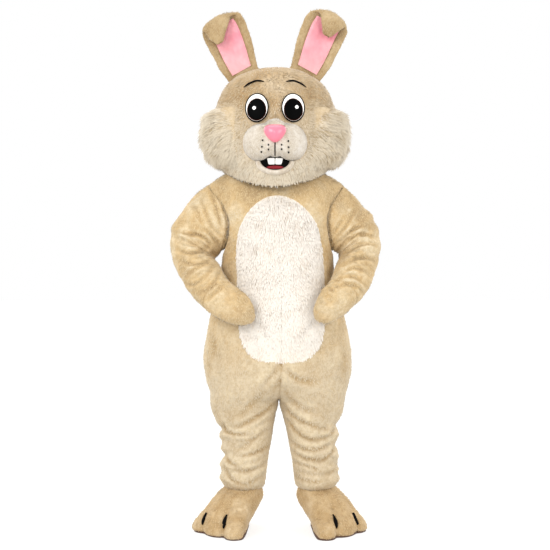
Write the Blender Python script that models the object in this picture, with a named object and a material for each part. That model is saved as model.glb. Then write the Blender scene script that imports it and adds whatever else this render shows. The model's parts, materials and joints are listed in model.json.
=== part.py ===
"""Rabbit costume, hollow and upright in the shape in which it is worn.

Metres, +Z up. The front faces -Y and +X is the wearer's left. Heights in the tables are above the floor,
and the world's origin is the point between the wearer's shoulders, HOLD_HEIGHT above the floor, where the
costume is carried. Each set of pieces is cut from one continuous form, so that their edges lie SEAM apart.
"""

import math

import bpy
from mathutils import Vector
from mathutils.bvhtree import BVHTree

HOLD_HEIGHT = 1.45
SEAM = 0.0003
# A piece laid across another's facets clears their ridges by this at its corners.
LAID = 0.0016
BROAD_LAID = 0.0027
CLOSE_LAID = 0.0007
NOSE_LAID = 0.0036
CORNER_PULL = 1.2  # least length squared of two edges' inward directions, so that sharp corners stay near
SHARP_ANGLE = math.radians(50)
PLUSH = 0.005  # short plush on its backing
PELT = 0.009  # long belly fur, the part of its depth that stands above the plush
FOAM = 0.020  # foam shell of the head with its fur
MITT_WALL = 0.008
SIDES = {"left": 1, "right": -1}
FORWARD = Vector((0, 1, 0))


def table(names, *rows):
    """Rows of a table as dictionaries with named columns."""
    return [dict(zip(names.split(), row)) for row in rows]


# Across the suit at each height: outer and inner edge on each side, depth to the front and to the back, and
# how far the ring has closed into two legs (0 one trunk, 1 two legs).
SUIT = table(
    "height outer_right inner_right inner_left outer_left front back cleft",
    (1.500, -0.100, 0.000, 0.000, 0.100, 0.092, 0.100, 0.0),
    (1.487, -0.150, 0.000, 0.000, 0.150, 0.102, 0.112, 0.0),
    (1.472, -0.197, 0.002, 0.002, 0.197, 0.110, 0.122, 0.0),
    (1.457, -0.224, 0.003, 0.003, 0.226, 0.115, 0.127, 0.0),
    (1.440, -0.250, 0.004, 0.004, 0.254, 0.120, 0.132, 0.0),
    (1.410, -0.282, 0.006, 0.006, 0.290, 0.132, 0.144, 0.0),
    (1.323, -0.243, 0.012, 0.012, 0.258, 0.166, 0.172, 0.0),
    (1.240, -0.221, 0.015, 0.015, 0.243, 0.182, 0.182, 0.0),
    (1.160, -0.218, 0.018, 0.018, 0.244, 0.190, 0.176, 0.0),
    (1.100, -0.223, 0.020, 0.020, 0.245, 0.192, 0.168, 0.0),
    (1.000, -0.232, 0.024, 0.024, 0.252, 0.197, 0.168, 0.0),
    (0.900, -0.264, 0.026, 0.026, 0.284, 0.205, 0.186, 0.0),
    (0.800, -0.284, 0.027, 0.027, 0.305, 0.210, 0.208, 0.0),
    (0.710, -0.298, 0.026, 0.026, 0.319, 0.205, 0.218, 0.03),
    (0.660, -0.295, 0.025, 0.025, 0.320, 0.196, 0.210, 0.18),
    (0.610, -0.287, 0.022, 0.022, 0.312, 0.180, 0.195, 0.50),
    (0.560, -0.271, 0.019, 0.019, 0.300, 0.160, 0.170, 0.84),
    (0.522, -0.270, 0.0166, 0.0166, 0.291, 0.142, 0.148, 1.0),
    (0.484, -0.263, 0.009, 0.024, 0.286, 0.130, 0.134, 1.0),
    (0.435, -0.244, 0.000, 0.036, 0.268, 0.118, 0.122, 1.0),
    (0.385, -0.230, -0.008, 0.048, 0.262, 0.110, 0.113, 1.0),
    (0.335, -0.223, -0.016, 0.058, 0.261, 0.105, 0.108, 1.0),
    (0.285, -0.222, -0.025, 0.068, 0.262, 0.103, 0.106, 1.0),
    (0.235, -0.226, -0.033, 0.072, 0.263, 0.103, 0.107, 1.0),
    (0.195, -0.226, -0.037, 0.078, 0.266, 0.104, 0.108, 1.0),
    (0.178, -0.220, -0.041, 0.082, 0.260, 0.099, 0.103, 1.0),
    (0.165, -0.207, -0.053, 0.094, 0.247, 0.085, 0.090, 1.0),
)
TRUNK_ROWS = (
    *(1.500, 1.487, 1.472, 1.445, 1.410, 1.323, 1.240, 1.160, 1.100, 1.040, 0.980, 0.920, 0.860, 0.800),
    *(0.743, 0.700, 0.660, 0.620, 0.585, 0.558, 0.538, 0.522),
)
LEG_ROW_COUNT = 20
CROTCH = 0.522
HEM = 0.165
QUARTER = (0.0, 0.142, 0.284, 0.426, 0.578, 0.730, 0.865, 1.0)
# Cells of that grid, first and last, that the armhole and half of the belly take.
ARMHOLE_ROWS = (4, 6)
ARMHOLE_COLUMNS = (5, 8)
BELLY_ROWS = (5, 13)
BELLY_COLUMNS = (0, 2)
LAST_FRONT_COLUMN = 6

# Ovals in the trunk's grid: the rectangle of cells whose edges are rounded into one.
GROWN = 1.15
OVAL_FADE = 0.75
BELLY = {
    "around": 0.0,
    "half_around": 0.426,
    "height": 1.033,
    "half_height": 0.290,
    "half_width": 0.1746,
    "top_taper": 0.32,
    "low_taper": 0.13,
    "square": 4,
}
ARMHOLE = {"around": 1.0, "half_around": 0.270, "height": 1.285, "half_height": 0.125}

# Sections of each arm from the armhole to the fingertips: outer and inner edge as seen from the front, how
# far back they lie, and half the depth of the section.
ARM_COLUMNS = "section outer_x outer_z inner_x inner_z y half_depth"
ARMS = {
    "right": table(
        ARM_COLUMNS,
        (0, 0.282, 1.423, 0.220, 1.136, 0.000, 0.088),
        (1, 0.333, 1.382, 0.228, 1.130, 0.005, 0.096),
        (2, 0.379, 1.324, 0.236, 1.125, 0.010, 0.100),
        (3, 0.419, 1.266, 0.243, 1.121, 0.015, 0.102),
        (4, 0.440, 1.207, 0.246, 1.117, 0.012, 0.102),
        (5, 0.438, 1.149, 0.246, 1.110, -0.005, 0.099),
        (6, 0.421, 1.090, 0.240, 1.101, -0.035, 0.094),
        (7, 0.389, 1.029, 0.228, 1.088, -0.075, 0.087),
        (8, 0.357, 0.984, 0.212, 1.064, -0.120, 0.081),
        (9, 0.317, 0.940, 0.190, 1.031, -0.166, 0.075),
        (10, 0.279, 0.907, 0.164, 1.009, -0.195, 0.068),
        (11, 0.238, 0.879, 0.136, 0.990, -0.223, 0.060),
        (12, 0.193, 0.858, 0.108, 0.966, -0.242, 0.056),
        (13, 0.152, 0.848, 0.092, 0.936, -0.250, 0.052),
        (14, 0.118, 0.852, 0.088, 0.908, -0.252, 0.036),
    ),
    "left": table(
        ARM_COLUMNS,
        (0, 0.293, 1.416, 0.246, 1.150, 0.000, 0.088),
        (1, 0.333, 1.375, 0.254, 1.143, 0.005, 0.096),
        (2, 0.375, 1.328, 0.260, 1.138, 0.010, 0.100),
        (3, 0.412, 1.283, 0.263, 1.133, 0.015, 0.102),
        (4, 0.436, 1.228, 0.263, 1.126, 0.012, 0.102),
        (5, 0.440, 1.167, 0.262, 1.118, -0.005, 0.099),
        (6, 0.431, 1.111, 0.258, 1.107, -0.035, 0.094),
        (7, 0.413, 1.057, 0.249, 1.091, -0.075, 0.087),
        (8, 0.393, 1.011, 0.237, 1.065, -0.113, 0.081),
        (9, 0.362, 0.965, 0.224, 1.033, -0.150, 0.075),
        (10, 0.325, 0.927, 0.205, 1.007, -0.182, 0.068),
        (11, 0.285, 0.894, 0.183, 0.988, -0.209, 0.060),
        (12, 0.244, 0.870, 0.172, 0.962, -0.232, 0.056),
        (13, 0.211, 0.855, 0.167, 0.938, -0.247, 0.052),
        (14, 0.191, 0.860, 0.167, 0.910, -0.250, 0.036),
    ),
}
ARM_TILT = table(
    "section tilt",
    (0, 0),
    (3, 0),
    (4, 6),
    (5, 14),
    (6, 22),
    (7, 30),
    (8, 37),
    (9, 43),
    (10, 47),
    (12, 50),
    (14, 46),
)
SLEEVE_SECTIONS = 10
SLEEVE_STEP = 0.4
MITT_SECTIONS = (10, 10.8, 11.6, 12.4, 13.2, 14)
MITT_TIP = 0.012
ARM_COLUMNS_AROUND = 14
ARMHOLE_BLEND = 2.5
SECTION_REACH = 0.3  # sections before and after one, between which the arm's way down is read

# The largest folds: where along the piece, the direction that each faces (0 the outer side, 90 the front),
# how far it stands out or in, its width, the angle that it runs round each way, and its slant.
FOLD_COLUMNS = "along facing rise width reach slant"
ARM_FOLDS = {
    "right": table(
        FOLD_COLUMNS,
        (1.2, 100, -0.009, 0.45, 95, -0.25),
        (2.0, 60, 0.006, 0.40, 100, 0.20),
        (2.7, 80, -0.010, 0.38, 105, 0.25),
        (3.4, 50, 0.008, 0.38, 110, 0.10),
        (4.1, 60, -0.011, 0.36, 115, 0.20),
        (5.2, 50, -0.007, 0.36, 110, -0.10),
        (6.1, 70, -0.008, 0.36, 110, -0.15),
        (7.0, 60, -0.009, 0.36, 110, -0.15),
        (8.1, 70, -0.008, 0.36, 100, -0.20),
        (9.2, 50, -0.007, 0.34, 90, -0.10),
        (2.4, -90, -0.009, 0.42, 85, 0.20),
        (4.2, -80, -0.010, 0.40, 90, 0.10),
        (5.6, -90, -0.007, 0.40, 85, 0.10),
        (7.4, -80, -0.008, 0.40, 85, 0.15),
    ),
    "left": table(
        FOLD_COLUMNS,
        (1.1, 90, -0.008, 0.45, 90, 0.20),
        (2.1, 60, -0.010, 0.40, 105, 0.20),
        (2.8, 50, 0.007, 0.38, 100, 0.15),
        (3.5, 70, -0.011, 0.36, 115, 0.20),
        (4.5, 60, -0.009, 0.36, 110, 0.10),
        (5.6, 60, -0.009, 0.36, 110, -0.10),
        (6.6, 80, -0.008, 0.36, 100, -0.15),
        (7.6, 50, -0.006, 0.36, 90, -0.15),
        (8.8, 80, -0.007, 0.36, 90, -0.20),
        (2.3, -80, -0.009, 0.42, 85, 0.20),
        (3.9, -90, -0.010, 0.40, 90, 0.10),
        (5.4, -80, -0.007, 0.40, 85, 0.10),
        (7.1, -90, -0.008, 0.40, 85, 0.15),
    ),
}
LEG_FOLDS = {
    "right": table(
        FOLD_COLUMNS,
        (0.446, 140, -0.005, 0.014, 60, 0.030),
        (0.413, 15, -0.013, 0.013, 85, 0.016),
        (0.386, 30, 0.008, 0.014, 90, 0.016),
        (0.350, 80, -0.007, 0.013, 75, 0.022),
        (0.330, 10, 0.006, 0.014, 70, 0.012),
        (0.303, 15, -0.012, 0.013, 90, 0.018),
        (0.268, 30, 0.008, 0.014, 95, 0.014),
        (0.238, 60, -0.007, 0.012, 90, 0.010),
        (0.208, 20, 0.009, 0.014, 170, 0.000),
        (0.395, -90, -0.009, 0.014, 80, -0.016),
        (0.340, -80, 0.006, 0.014, 80, -0.014),
        (0.300, -100, -0.009, 0.014, 85, -0.012),
        (0.240, -90, -0.006, 0.013, 80, 0.000),
    ),
    "left": table(
        FOLD_COLUMNS,
        (0.440, 130, -0.006, 0.014, 65, 0.030),
        (0.428, 15, -0.010, 0.013, 80, 0.014),
        (0.392, 30, 0.009, 0.014, 90, 0.018),
        (0.362, 90, -0.008, 0.013, 85, 0.022),
        (0.343, 10, -0.008, 0.013, 60, 0.010),
        (0.308, 40, 0.008, 0.014, 90, 0.016),
        (0.276, 70, -0.009, 0.013, 90, 0.016),
        (0.246, 20, 0.007, 0.013, 80, 0.012),
        (0.228, 80, -0.006, 0.012, 80, 0.008),
        (0.204, 20, 0.008, 0.014, 170, 0.000),
        (0.400, -80, -0.009, 0.014, 80, -0.016),
        (0.350, -90, 0.006, 0.014, 80, -0.014),
        (0.305, -80, -0.009, 0.014, 85, -0.012),
        (0.245, -100, -0.006, 0.013, 80, 0.000),
    ),
}

# Head: half width, depth to the front and back at each height, and how far its lower edge dips front and
# back.
HEAD = table(
    "height half_width front back front_dip back_dip",
    (1.898, 0.075, 0.070, 0.075, 0.000, 0.000),
    (1.880, 0.130, 0.124, 0.130, 0.000, 0.000),
    (1.852, 0.178, 0.168, 0.176, 0.000, 0.000),
    (1.815, 0.213, 0.200, 0.209, 0.000, 0.000),
    (1.770, 0.236, 0.221, 0.231, 0.000, 0.000),
    (1.720, 0.248, 0.232, 0.243, 0.000, 0.000),
    (1.665, 0.254, 0.238, 0.250, 0.000, 0.000),
    (1.610, 0.253, 0.240, 0.250, 0.000, 0.000),
    (1.562, 0.247, 0.240, 0.244, 0.006, 0.000),
    (1.526, 0.236, 0.236, 0.233, 0.024, 0.006),
    (1.496, 0.221, 0.224, 0.217, 0.046, 0.012),
    (1.4682, 0.205, 0.198, 0.200, 0.067, 0.015),
)
CROWN = 1.905
HEAD_COLUMNS = 28
CHEEK_ROWS = (5, 10)
CHEEK_TURN = (3, 9)
CHEEK_TOP = 0.024
CHEEK_SHARE = (0.16, 0.66, 0.94, 1.0, 0.96, 0.66, 0.16)
CHEEK_DEPTH = table(
    "height depth",
    (1.49, 0.036),
    (1.52, 0.050),
    (1.56, 0.062),
    (1.62, 0.062),
    (1.68, 0.060),
    (1.73, 0.038),
)

# Face, seen from the front: centres and half sizes as x, z pairs.
MUZZLE_CENTRE = (0.0, 1.572)
MUZZLE_LOBES = table(
    "x z half_x half_z",
    (-0.066, 1.566, 0.060, 0.068),
    (0.066, 1.566, 0.060, 0.068),
    (0.000, 1.583, 0.060, 0.073),
)
MUZZLE_ROUND = 6
MUZZLE_SPOKES = 28
MUZZLE_RINGS = 5
MUZZLE_DEPTH = 0.078
MUZZLE_EDGE = 0.012
MUZZLE_SWELL = 2.6
PHILTRUM_DIP = 0.10
PHILTRUM_WIDTH = 0.018
NOSE_CENTRE = (0.0, 1.600)
NOSE_SIDES = ((0.0, 1.0, 0.029), (0.83, -0.56, 0.0275), (-0.83, -0.56, 0.0275))
NOSE_ROUND = 5
NOSE_EDGE = 0.006
NOSE_DEPTH = 0.026
NOSE_SPOKES = 21
NOSE_RINGS = 3
EYE = {"x": 0.072, "z": 1.711, "half_x": 0.047, "half_z": 0.058}
EYE_RIM = 0.0045
IRIS = {"x": 0.073, "z": 1.700, "half_x": 0.0365, "half_z": 0.0465}
PUPIL_RIM = 0.0025
# Thickness of each plate at its edge, and how much more it has in the middle.
EYE_RIM_DOME = (0.003, 0.0)
EYE_WHITE_DOME = (0.002, 0.006)
IRIS_DOME = (0.002, 0.0)
PUPIL_DOME = (0.001, 0.001)
MOUTH_DOME = (0.002, 0.0)
TONGUE_DOME = (0.002, 0.003)
TOOTH_DOME = (0.004, 0.002)
MOUTH = {"x": 0.0, "z": 1.4985, "half_x": 0.058, "half_z": 0.038}
MOUTH_SPOKES = 28
LIP_WIDTH = 0.0085
LIP_OUT = 0.0105  # from the mouth's edge to the middle of the lip
LIP_TURN = (math.radians(184.3), math.radians(355.7))
LIP_STEPS = 14
# Sections of the strips: place across, -1 to 1, and height.
LIP_SECTION = ((-1, 0.006), (-0.7, 0.014), (0, 0.018), (0.7, 0.014), (1, 0.006))
BROW_SECTION = ((-1, 0.002), (0, 0.0035), (1, 0.002))
LINE_SECTION = ((-1, 0.0015), (0, 0.0015), (1, 0.0015))
MARK_SECTION = ((-1, 0.0015), (1, 0.0015))
FLY_SECTION = ((-1, 0.002), (-0.9, 0.006), (0, 0.006), (0.9, 0.006), (1, 0.002))
TONGUE = {"x": 0.0, "z": 1.4695, "half_x": 0.034, "half_z": 0.0065}
TOOTH = {"x": 0.0156, "z": 1.493, "half_x": 0.0146, "half_z": 0.0125}
TOOTH_ROUND = 8
BROWS = table("x z", (0.126, 1.795), (0.100, 1.812), (0.072, 1.820), (0.043, 1.815))
BROW_WIDTH = 0.0032
BROW_STEPS = 8
PHILTRUM_LINE = 0.0018
CLEAR_OF_MUZZLE = 0.0025
TRIM_STEP = 0.0005
TRIM_LEAST = 0.004

# Ears: the flat leaf's centre and half width along its length, then where each stands, leans and folds.
EAR = table(
    "along centre half_width",
    (0.000, 0.000, 0.066),
    (0.050, -0.004, 0.076),
    (0.100, -0.010, 0.085),
    (0.150, -0.016, 0.089),
    (0.200, -0.020, 0.091),
    (0.240, -0.020, 0.087),
    (0.280, -0.010, 0.070),
    (0.320, 0.006, 0.049),
    (0.355, 0.018, 0.030),
    (0.380, 0.024, 0.014),
)
EAR_ROWS = (
    *(0.0, 0.020, 0.055, 0.092, 0.130, 0.165, 0.200, 0.226, 0.240, 0.254, 0.268, 0.282, 0.296, 0.310),
    *(0.330, 0.350, 0.368, 0.380),
)
EAR_COLUMNS = 14
EAR_THICK = 0.012
EAR_THIN_HALF = 0.03  # an ear narrower than this half width is thinner too
EAR_CUP = 0.020
EAR_CUP_HALF = 0.09
EAR_FOLD_ROW = 0.226  # where the rows of the fold begin, before they are moved to each ear's own fold
FOLD_RADIUS = 0.026
FOLD_TURN = math.radians(170)
EARS = table(
    "side x y z lean fold_start tip_shift",
    ("right", 0.129, 0.000, 1.872, math.radians(29), 0.226, 0.000),
    ("left", 0.125, 0.000, 1.876, math.radians(29), 0.236, -0.022),
)
LINING_ROWS = (1, 7)
LINING_TURN = (2, 5)
LINING = 0.002

# Foot: outline of the sole from the middle of the ankle, beginning at the inner side and going round by the
# toes, and how far the upper has come out to it at each height, on the side of the toes and of the heel.
FOOT_OUTLINE = table(
    "out ahead",
    (-0.023, 0.020),
    (-0.021, 0.060),
    (-0.019, 0.105),
    (-0.015, 0.155),
    (-0.009, 0.205),
    (-0.001, 0.235),
    (0.018, 0.249),
    (0.040, 0.250),
    (0.060, 0.236),
    (0.075, 0.203),
    (0.096, 0.199),
    (0.121, 0.187),
    (0.142, 0.162),
    (0.160, 0.128),
    (0.182, 0.114),
    (0.198, 0.092),
    (0.203, 0.062),
    (0.187, 0.030),
    (0.154, 0.002),
    (0.124, -0.030),
    (0.097, -0.064),
    (0.074, -0.091),
    (0.049, -0.107),
    (0.024, -0.111),
    (0.001, -0.102),
    (-0.014, -0.083),
    (-0.021, -0.055),
    (-0.024, -0.018),
)
FOOT_MIDDLE = {"out": 0.084, "ahead": 0.075}
FOOT_TURN = math.radians(36)
TOE_NOTCHES = {"inner": 9, "outer": 13}
TOE_NOTCH_DROP = 0.010
FOOT_PROFILE = table(
    "up toe heel",
    (1.00, 0.00, 0.00),
    (0.91, 0.21, -0.10),
    (0.79, 0.39, -0.16),
    (0.67, 0.56, -0.08),
    (0.54, 0.72, 0.12),
    (0.38, 0.90, 0.42),
    (0.20, 1.02, 0.78),
    (0.06, 1.04, 1.00),
    (0.00, 1.00, 1.00),
)
NOTCHED_ROWS = (4, 5, 6)
SOLE = 0.010
SOLE_EDGE = 0.004
TOE_MARK = 0.004
TOE_MARK_TOWARD = Vector((0, 0.45, -0.9)).normalized()
TOES_SHARE = 1.5  # how sharply the toes' profile gives way to the heel's round the foot
START_OUT = 0.3

FLY = {"top": 1.410, "bottom": 0.800, "half_width": 0.024}

FINISHES = table(
    "name colour roughness",
    ("tan_plush", (0.72, 0.54, 0.35), 0.95),
    ("head_fur", (0.70, 0.55, 0.38), 0.95),
    ("cream_fur", (0.86, 0.79, 0.66), 0.95),
    ("white_pelt", (0.90, 0.86, 0.77), 0.95),
    ("pink_satin", (0.92, 0.48, 0.53), 0.50),
    ("pink_vinyl", (0.93, 0.30, 0.42), 0.25),
    ("black_plastic", (0.01, 0.01, 0.01), 0.30),
    ("white_plastic", (0.90, 0.90, 0.88), 0.30),
    ("brown_plastic", (0.10, 0.03, 0.01), 0.30),
    ("black_felt", (0.01, 0.01, 0.01), 0.90),
    ("red_felt", (0.45, 0.01, 0.02), 0.90),
    ("brown_sole", (0.16, 0.09, 0.04), 0.70),
)


def read(rows, key, column, at):
    """Smooth value of a table's column where its key column has the value at, with no overshoot."""
    rows = sorted(rows, key=lambda row: row[key])
    keys = [row[key] for row in rows]
    values = [row[column] for row in rows]
    if at <= keys[0]:
        return values[0]
    if at >= keys[-1]:
        return values[-1]
    here = next(n for n in range(len(keys) - 1) if at <= keys[n + 1])
    steps = [(values[n + 1] - values[n]) / (keys[n + 1] - keys[n]) for n in range(len(keys) - 1)]

    def slope(n):
        if n == 0:
            return steps[0]
        if n == len(steps):
            return steps[-1]
        if steps[n - 1] * steps[n] <= 0:
            return 0.0
        return 2 * steps[n - 1] * steps[n] / (steps[n - 1] + steps[n])

    width = keys[here + 1] - keys[here]
    t = (at - keys[here]) / width
    start, end = slope(here) * width, slope(here + 1) * width
    rise = values[here + 1] - values[here]
    return values[here] + start * t + (3 * rise - 2 * start - end) * t**2 + (start + end - 2 * rise) * t**3


def eased(distance):
    """1 at distance 0, falling smoothly to 0 at distance 1."""
    t = min(max(distance, 0.0), 1.0)
    return 1 - t * t * (3 - 2 * t)


def middle(first, second):
    return (first + second) / 2


def within(number, limits):
    return limits[0] <= number <= limits[1]


# Forms and the solids cut from them


class Form:
    """A continuous surface, each of whose triangles belongs to one named piece."""

    def __init__(self):
        self.points = []
        self.index = {}
        self.triangles = []
        self.normal_of = None
        self.through = {}

    def add(self, point):
        key = tuple(round(value, 6) for value in point)
        if key not in self.index:
            self.index[key] = len(self.points)
            self.points.append(Vector(point))
        return self.index[key]

    def cell(self, piece, corners, flip=False):
        """Adds one cell of three or four corners, cut along its shorter diagonal."""
        ring = []
        for corner in corners:
            number = self.add(corner)
            if number not in ring:
                ring.append(number)
        if flip:
            ring.reverse()
        if len(ring) == 4:
            points = [self.points[number] for number in ring]
            if (points[0] - points[2]).length > (points[1] - points[3]).length:
                ring = ring[1:] + ring[:1]
            self.triangles.append((piece, (ring[0], ring[2], ring[3])))
        if len(ring) >= 3:
            self.triangles.append((piece, (ring[0], ring[1], ring[2])))

    def grid(self, rows, piece_of, flip=False):
        for row in range(len(rows) - 1):
            for column in range(len(rows[row]) - 1):
                piece = piece_of(row, column)
                if piece:
                    upper, lower = rows[row], rows[row + 1]
                    corners = (upper[column], lower[column], lower[column + 1], upper[column + 1])
                    self.cell(piece, corners, flip)

    def normals(self):
        if self.normal_of is None:
            self.normal_of = [Vector() for _ in self.points]
            for _, corners in self.triangles:
                a, b, c = (self.points[number] for number in corners)
                normal = (b - a).cross(c - a).normalized()
                self.normal_of[corners[0]] += normal * (b - a).angle(c - a)
                self.normal_of[corners[1]] += normal * (a - b).angle(c - b)
                self.normal_of[corners[2]] += normal * (a - c).angle(b - c)
            for normal in self.normal_of:
                normal.normalize()
        return self.normal_of

    def surface(self):
        return BVHTree.FromPolygons(self.points, [corners for _, corners in self.triangles])

    def solid(self, piece, material, low, high):
        """Closed solid of one piece between two distances from the form, which are numbers or functions."""
        directions = {**dict(enumerate(self.normals())), **self.through}
        corners_of = [corners for name, corners in self.triangles if name == piece]
        edges = {}
        for corners in corners_of:
            for start, end in zip(corners, corners[1:] + corners[:1]):
                edges[start, end] = corners
        rim = {edge: corners for edge, corners in edges.items() if edge[::-1] not in edges}
        inset = {}
        for (start, end), corners in rim.items():
            a, b, c = (self.points[number] for number in corners)
            facing = (b - a).cross(c - a).normalized()
            inward = facing.cross(self.points[end] - self.points[start]).normalized()
            inset.setdefault(start, []).append(inward)
            inset.setdefault(end, []).append(inward)

        def level(number, distance):
            away = distance(self.points[number]) if callable(distance) else distance
            shift = Vector()
            if number in inset:
                total = sum(inset[number], Vector())
                shift = total * (SEAM / max(total.length_squared, CORNER_PULL))
            return self.points[number] + shift + directions[number] * away

        used = sorted({number for corners in corners_of for number in corners})
        place = {number: order for order, number in enumerate(used)}
        points = [level(number, high) for number in used] + [level(number, low) for number in used]
        count = len(used)
        faces = [tuple(place[number] for number in corners) for corners in corners_of]
        faces += [tuple(count + number for number in reversed(face)) for face in faces]
        for start, end in rim:
            a, b = place[start], place[end]
            if start < end:
                faces += [(b, a, b + count), (a, a + count, b + count)]
            else:
                faces += [(b, a, a + count), (b, a + count, b + count)]
        return solid_object(piece, material, points, faces)


def solid_object(name, material, points, faces):
    """Object on the worn form's empty, with its mesh in heights above the floor."""
    mesh = bpy.data.meshes.new(name)
    mesh.from_pydata(points, [], faces)
    mesh.materials.append(bpy.data.materials[material])
    mesh.shade_smooth()
    mesh.set_sharp_from_angle(angle=SHARP_ANGLE)
    made = bpy.data.objects.new(name, mesh)
    bpy.context.scene.collection.objects.link(made)
    made.parent = bpy.data.objects["worn_form"]
    return made


def outer_surface(made):
    """Search tree over an object's mesh, for a piece that is laid on it."""
    mesh = made.data
    return BVHTree.FromPolygons(
        [vertex.co.copy() for vertex in mesh.vertices],
        [tuple(face.vertices) for face in mesh.polygons],
    )


def meet(carrier, start, toward):
    """Where a line from start first meets the surface that a piece is laid on."""
    hit = carrier.ray_cast(start, toward)[0]
    if hit is None:
        raise ValueError(f"nothing to lie on at {tuple(round(value, 3) for value in start)}")
    return hit


def ring_out(ring, rings):
    """Fraction of the way out to the edge of a plate, closer together near the edge."""
    return math.sin(math.pi / 2 * ring / rings)


def plate(name, material, centre, radius, carrier, height, spokes=16, rings=2, clear=LAID):
    """Domed plate laid on the front of a surface. radius gives its outline from an angle, height its front
    from the fraction of the way out and the place (x, z)."""
    base = []
    front = []
    places = [(0.0, 0.0)]
    for ring in range(1, rings + 1):
        out = ring_out(ring, rings)
        places += [(out, 2 * math.pi * spoke / spokes) for spoke in range(spokes)]
    for out, angle in places:
        reach = out * radius(angle)
        x = centre[0] + reach * math.cos(angle)
        z = centre[1] + reach * math.sin(angle)
        back = meet(carrier, Vector((x, -1, z)), FORWARD) - FORWARD * clear
        base.append(back)
        front.append(back - FORWARD * height(out, x, z))
    count = len(base)
    faces = []
    for spoke in range(spokes):
        after = (spoke + 1) % spokes
        faces.append((0, 1 + spoke, 1 + after))
        for ring in range(rings - 1):
            inner, outer = 1 + ring * spokes, 1 + (ring + 1) * spokes
            faces.append((inner + spoke, outer + spoke, outer + after))
            faces.append((inner + spoke, outer + after, inner + after))
    faces += [tuple(count + number for number in reversed(face)) for face in faces]
    edge = 1 + (rings - 1) * spokes
    for spoke in range(spokes):
        after = (spoke + 1) % spokes
        faces.append((edge + after, edge + spoke, edge + spoke + count))
        faces.append((edge + after, edge + spoke + count, edge + after + count))
    return solid_object(name, material, front + base, faces)


def strip(name, material, route, half_width, section, carrier, toward, clear=LAID):
    """Strip laid along a route on a surface. section lists (across, height) pairs from edge to edge."""
    points = []
    for here, start in enumerate(route):
        run = route[min(here + 1, len(route) - 1)] - route[max(here - 1, 0)]
        across = run.cross(toward).normalized()
        for place, _ in section:
            points.append(meet(carrier, start + across * place * half_width, toward) - toward * clear)
        for number, (_, height) in enumerate(section):
            points.append(points[len(points) - len(section)] - toward * height)
    wide = len(section)
    ring = [*range(wide), *range(2 * wide - 1, wide - 1, -1)]
    faces = []
    for here in range(len(route) - 1):
        first, second = here * 2 * wide, (here + 1) * 2 * wide
        for number, after in zip(ring, ring[1:] + ring[:1]):
            faces.append((first + number, first + after, second + after))
            faces.append((first + number, second + after, second + number))
    last = (len(route) - 1) * 2 * wide
    for column in range(wide - 1):
        low, high = column, column + wide
        faces.append((low, high + 1, low + 1))
        faces.append((low, high, high + 1))
        faces.append((last + low, last + low + 1, last + high + 1))
        faces.append((last + low, last + high + 1, last + high))
    return solid_object(name, material, points, faces)


# Suit


def oval_place(around, height, oval):
    """Place in an oval's rectangle of cells, -1 to 1 each way, and the share of its shift that it takes."""
    across = (around - oval["around"]) / oval["half_around"]
    up = (height - oval["height"]) / oval["half_height"]
    x = min(max(across, -1), 1)
    z = min(max(up, -1), 1)
    return x, z, eased(math.hypot(across - x, up - z) / OVAL_FADE)


def rounded(value, other):
    """Shift of one coordinate of a square that rounds it into a grown disc."""
    return value * (math.sqrt(1 - other * other / 2) * GROWN - 1)


def fold_rise(folds, along, facing):
    """How far the cloth stands out at a place; facing is in degrees."""
    rise = 0.0
    for fold in folds:
        turn = (facing - fold["facing"] + 180) % 360 - 180
        if abs(turn) < fold["reach"]:
            off = (along - fold["along"] - fold["slant"] * math.radians(turn)) / fold["width"]
            rise += fold["rise"] * math.exp(-off * off) * math.cos(math.pi / 2 * turn / fold["reach"]) ** 2
    return rise


def suit_point(side, height, around):
    """Point of the suit. around runs from 0 at the centre front by 1 at the outer side to 2 at the back."""
    sign = SIDES[side]
    x, z, share = oval_place(around, height, BELLY)
    hole_x, hole_z, hole_share = oval_place(around, height, ARMHOLE)
    corner = x if z > 0 else x * abs(x)
    height += rounded(z, corner) * BELLY["half_height"] * share
    height += rounded(hole_z, hole_x) * ARMHOLE["half_height"] * hole_share
    outer = sign * read(SUIT, "height", f"outer_{side}", height)
    leg = side if height < CROTCH else "left"
    inner = sign * read(SUIT, "height", f"inner_{leg}", height)
    cleft = read(SUIT, "height", "cleft", height)
    centre = inner + cleft / 2 * (outer - inner)
    half = outer - centre
    start = math.acos(max(-(centre - inner) / half, -1.0))
    taper = BELLY["top_taper"] if z > 0 else BELLY["low_taper"]
    reach = x * math.sqrt(1 - taper * z**BELLY["square"]) * BELLY["half_width"]
    belly_around = 1 - math.acos(min(max((reach + inner - centre) / half, -1.0), 1.0)) / start
    slide = (belly_around - x * BELLY["half_around"]) * share
    around += slide + rounded(hole_x, hole_z) * ARMHOLE["half_around"] * hole_share
    behind = around > 1
    turn = start * (around - 1 if behind else 1 - around)
    depth = read(SUIT, "height", "back" if behind else "front", height)
    x = centre + half * math.cos(turn)
    y = depth * math.sin(turn) * (1 if behind else -1)
    if cleft >= 1:
        facing = math.degrees(turn) * (-1 if behind else 1)
        rise = fold_rise(LEG_FOLDS[side], height, facing)
        x += rise * math.cos(turn)
        y += rise * math.sin(turn) * (1 if behind else -1)
    return Vector((sign * x, y, height))


def armhole_ring(side):
    """The armhole's corners, from the shoulder round by the front to the underarm and up the back."""
    top, upper, lower, bottom = TRUNK_ROWS[ARMHOLE_ROWS[0] : ARMHOLE_ROWS[1] + 2]
    ahead, beside = QUARTER[ARMHOLE_COLUMNS[0] : ARMHOLE_COLUMNS[0] + 2]
    behind, past = 2 - ahead, 2 - beside
    places = [(1.0, top), (beside, top), (ahead, top), (ahead, upper), (ahead, lower), (ahead, bottom)]
    places += [(beside, bottom), (1.0, bottom), (past, bottom)]
    places += [(behind, bottom), (behind, lower), (behind, upper), (behind, top), (past, top)]
    return [suit_point(side, height, around) for around, height in places]


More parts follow.
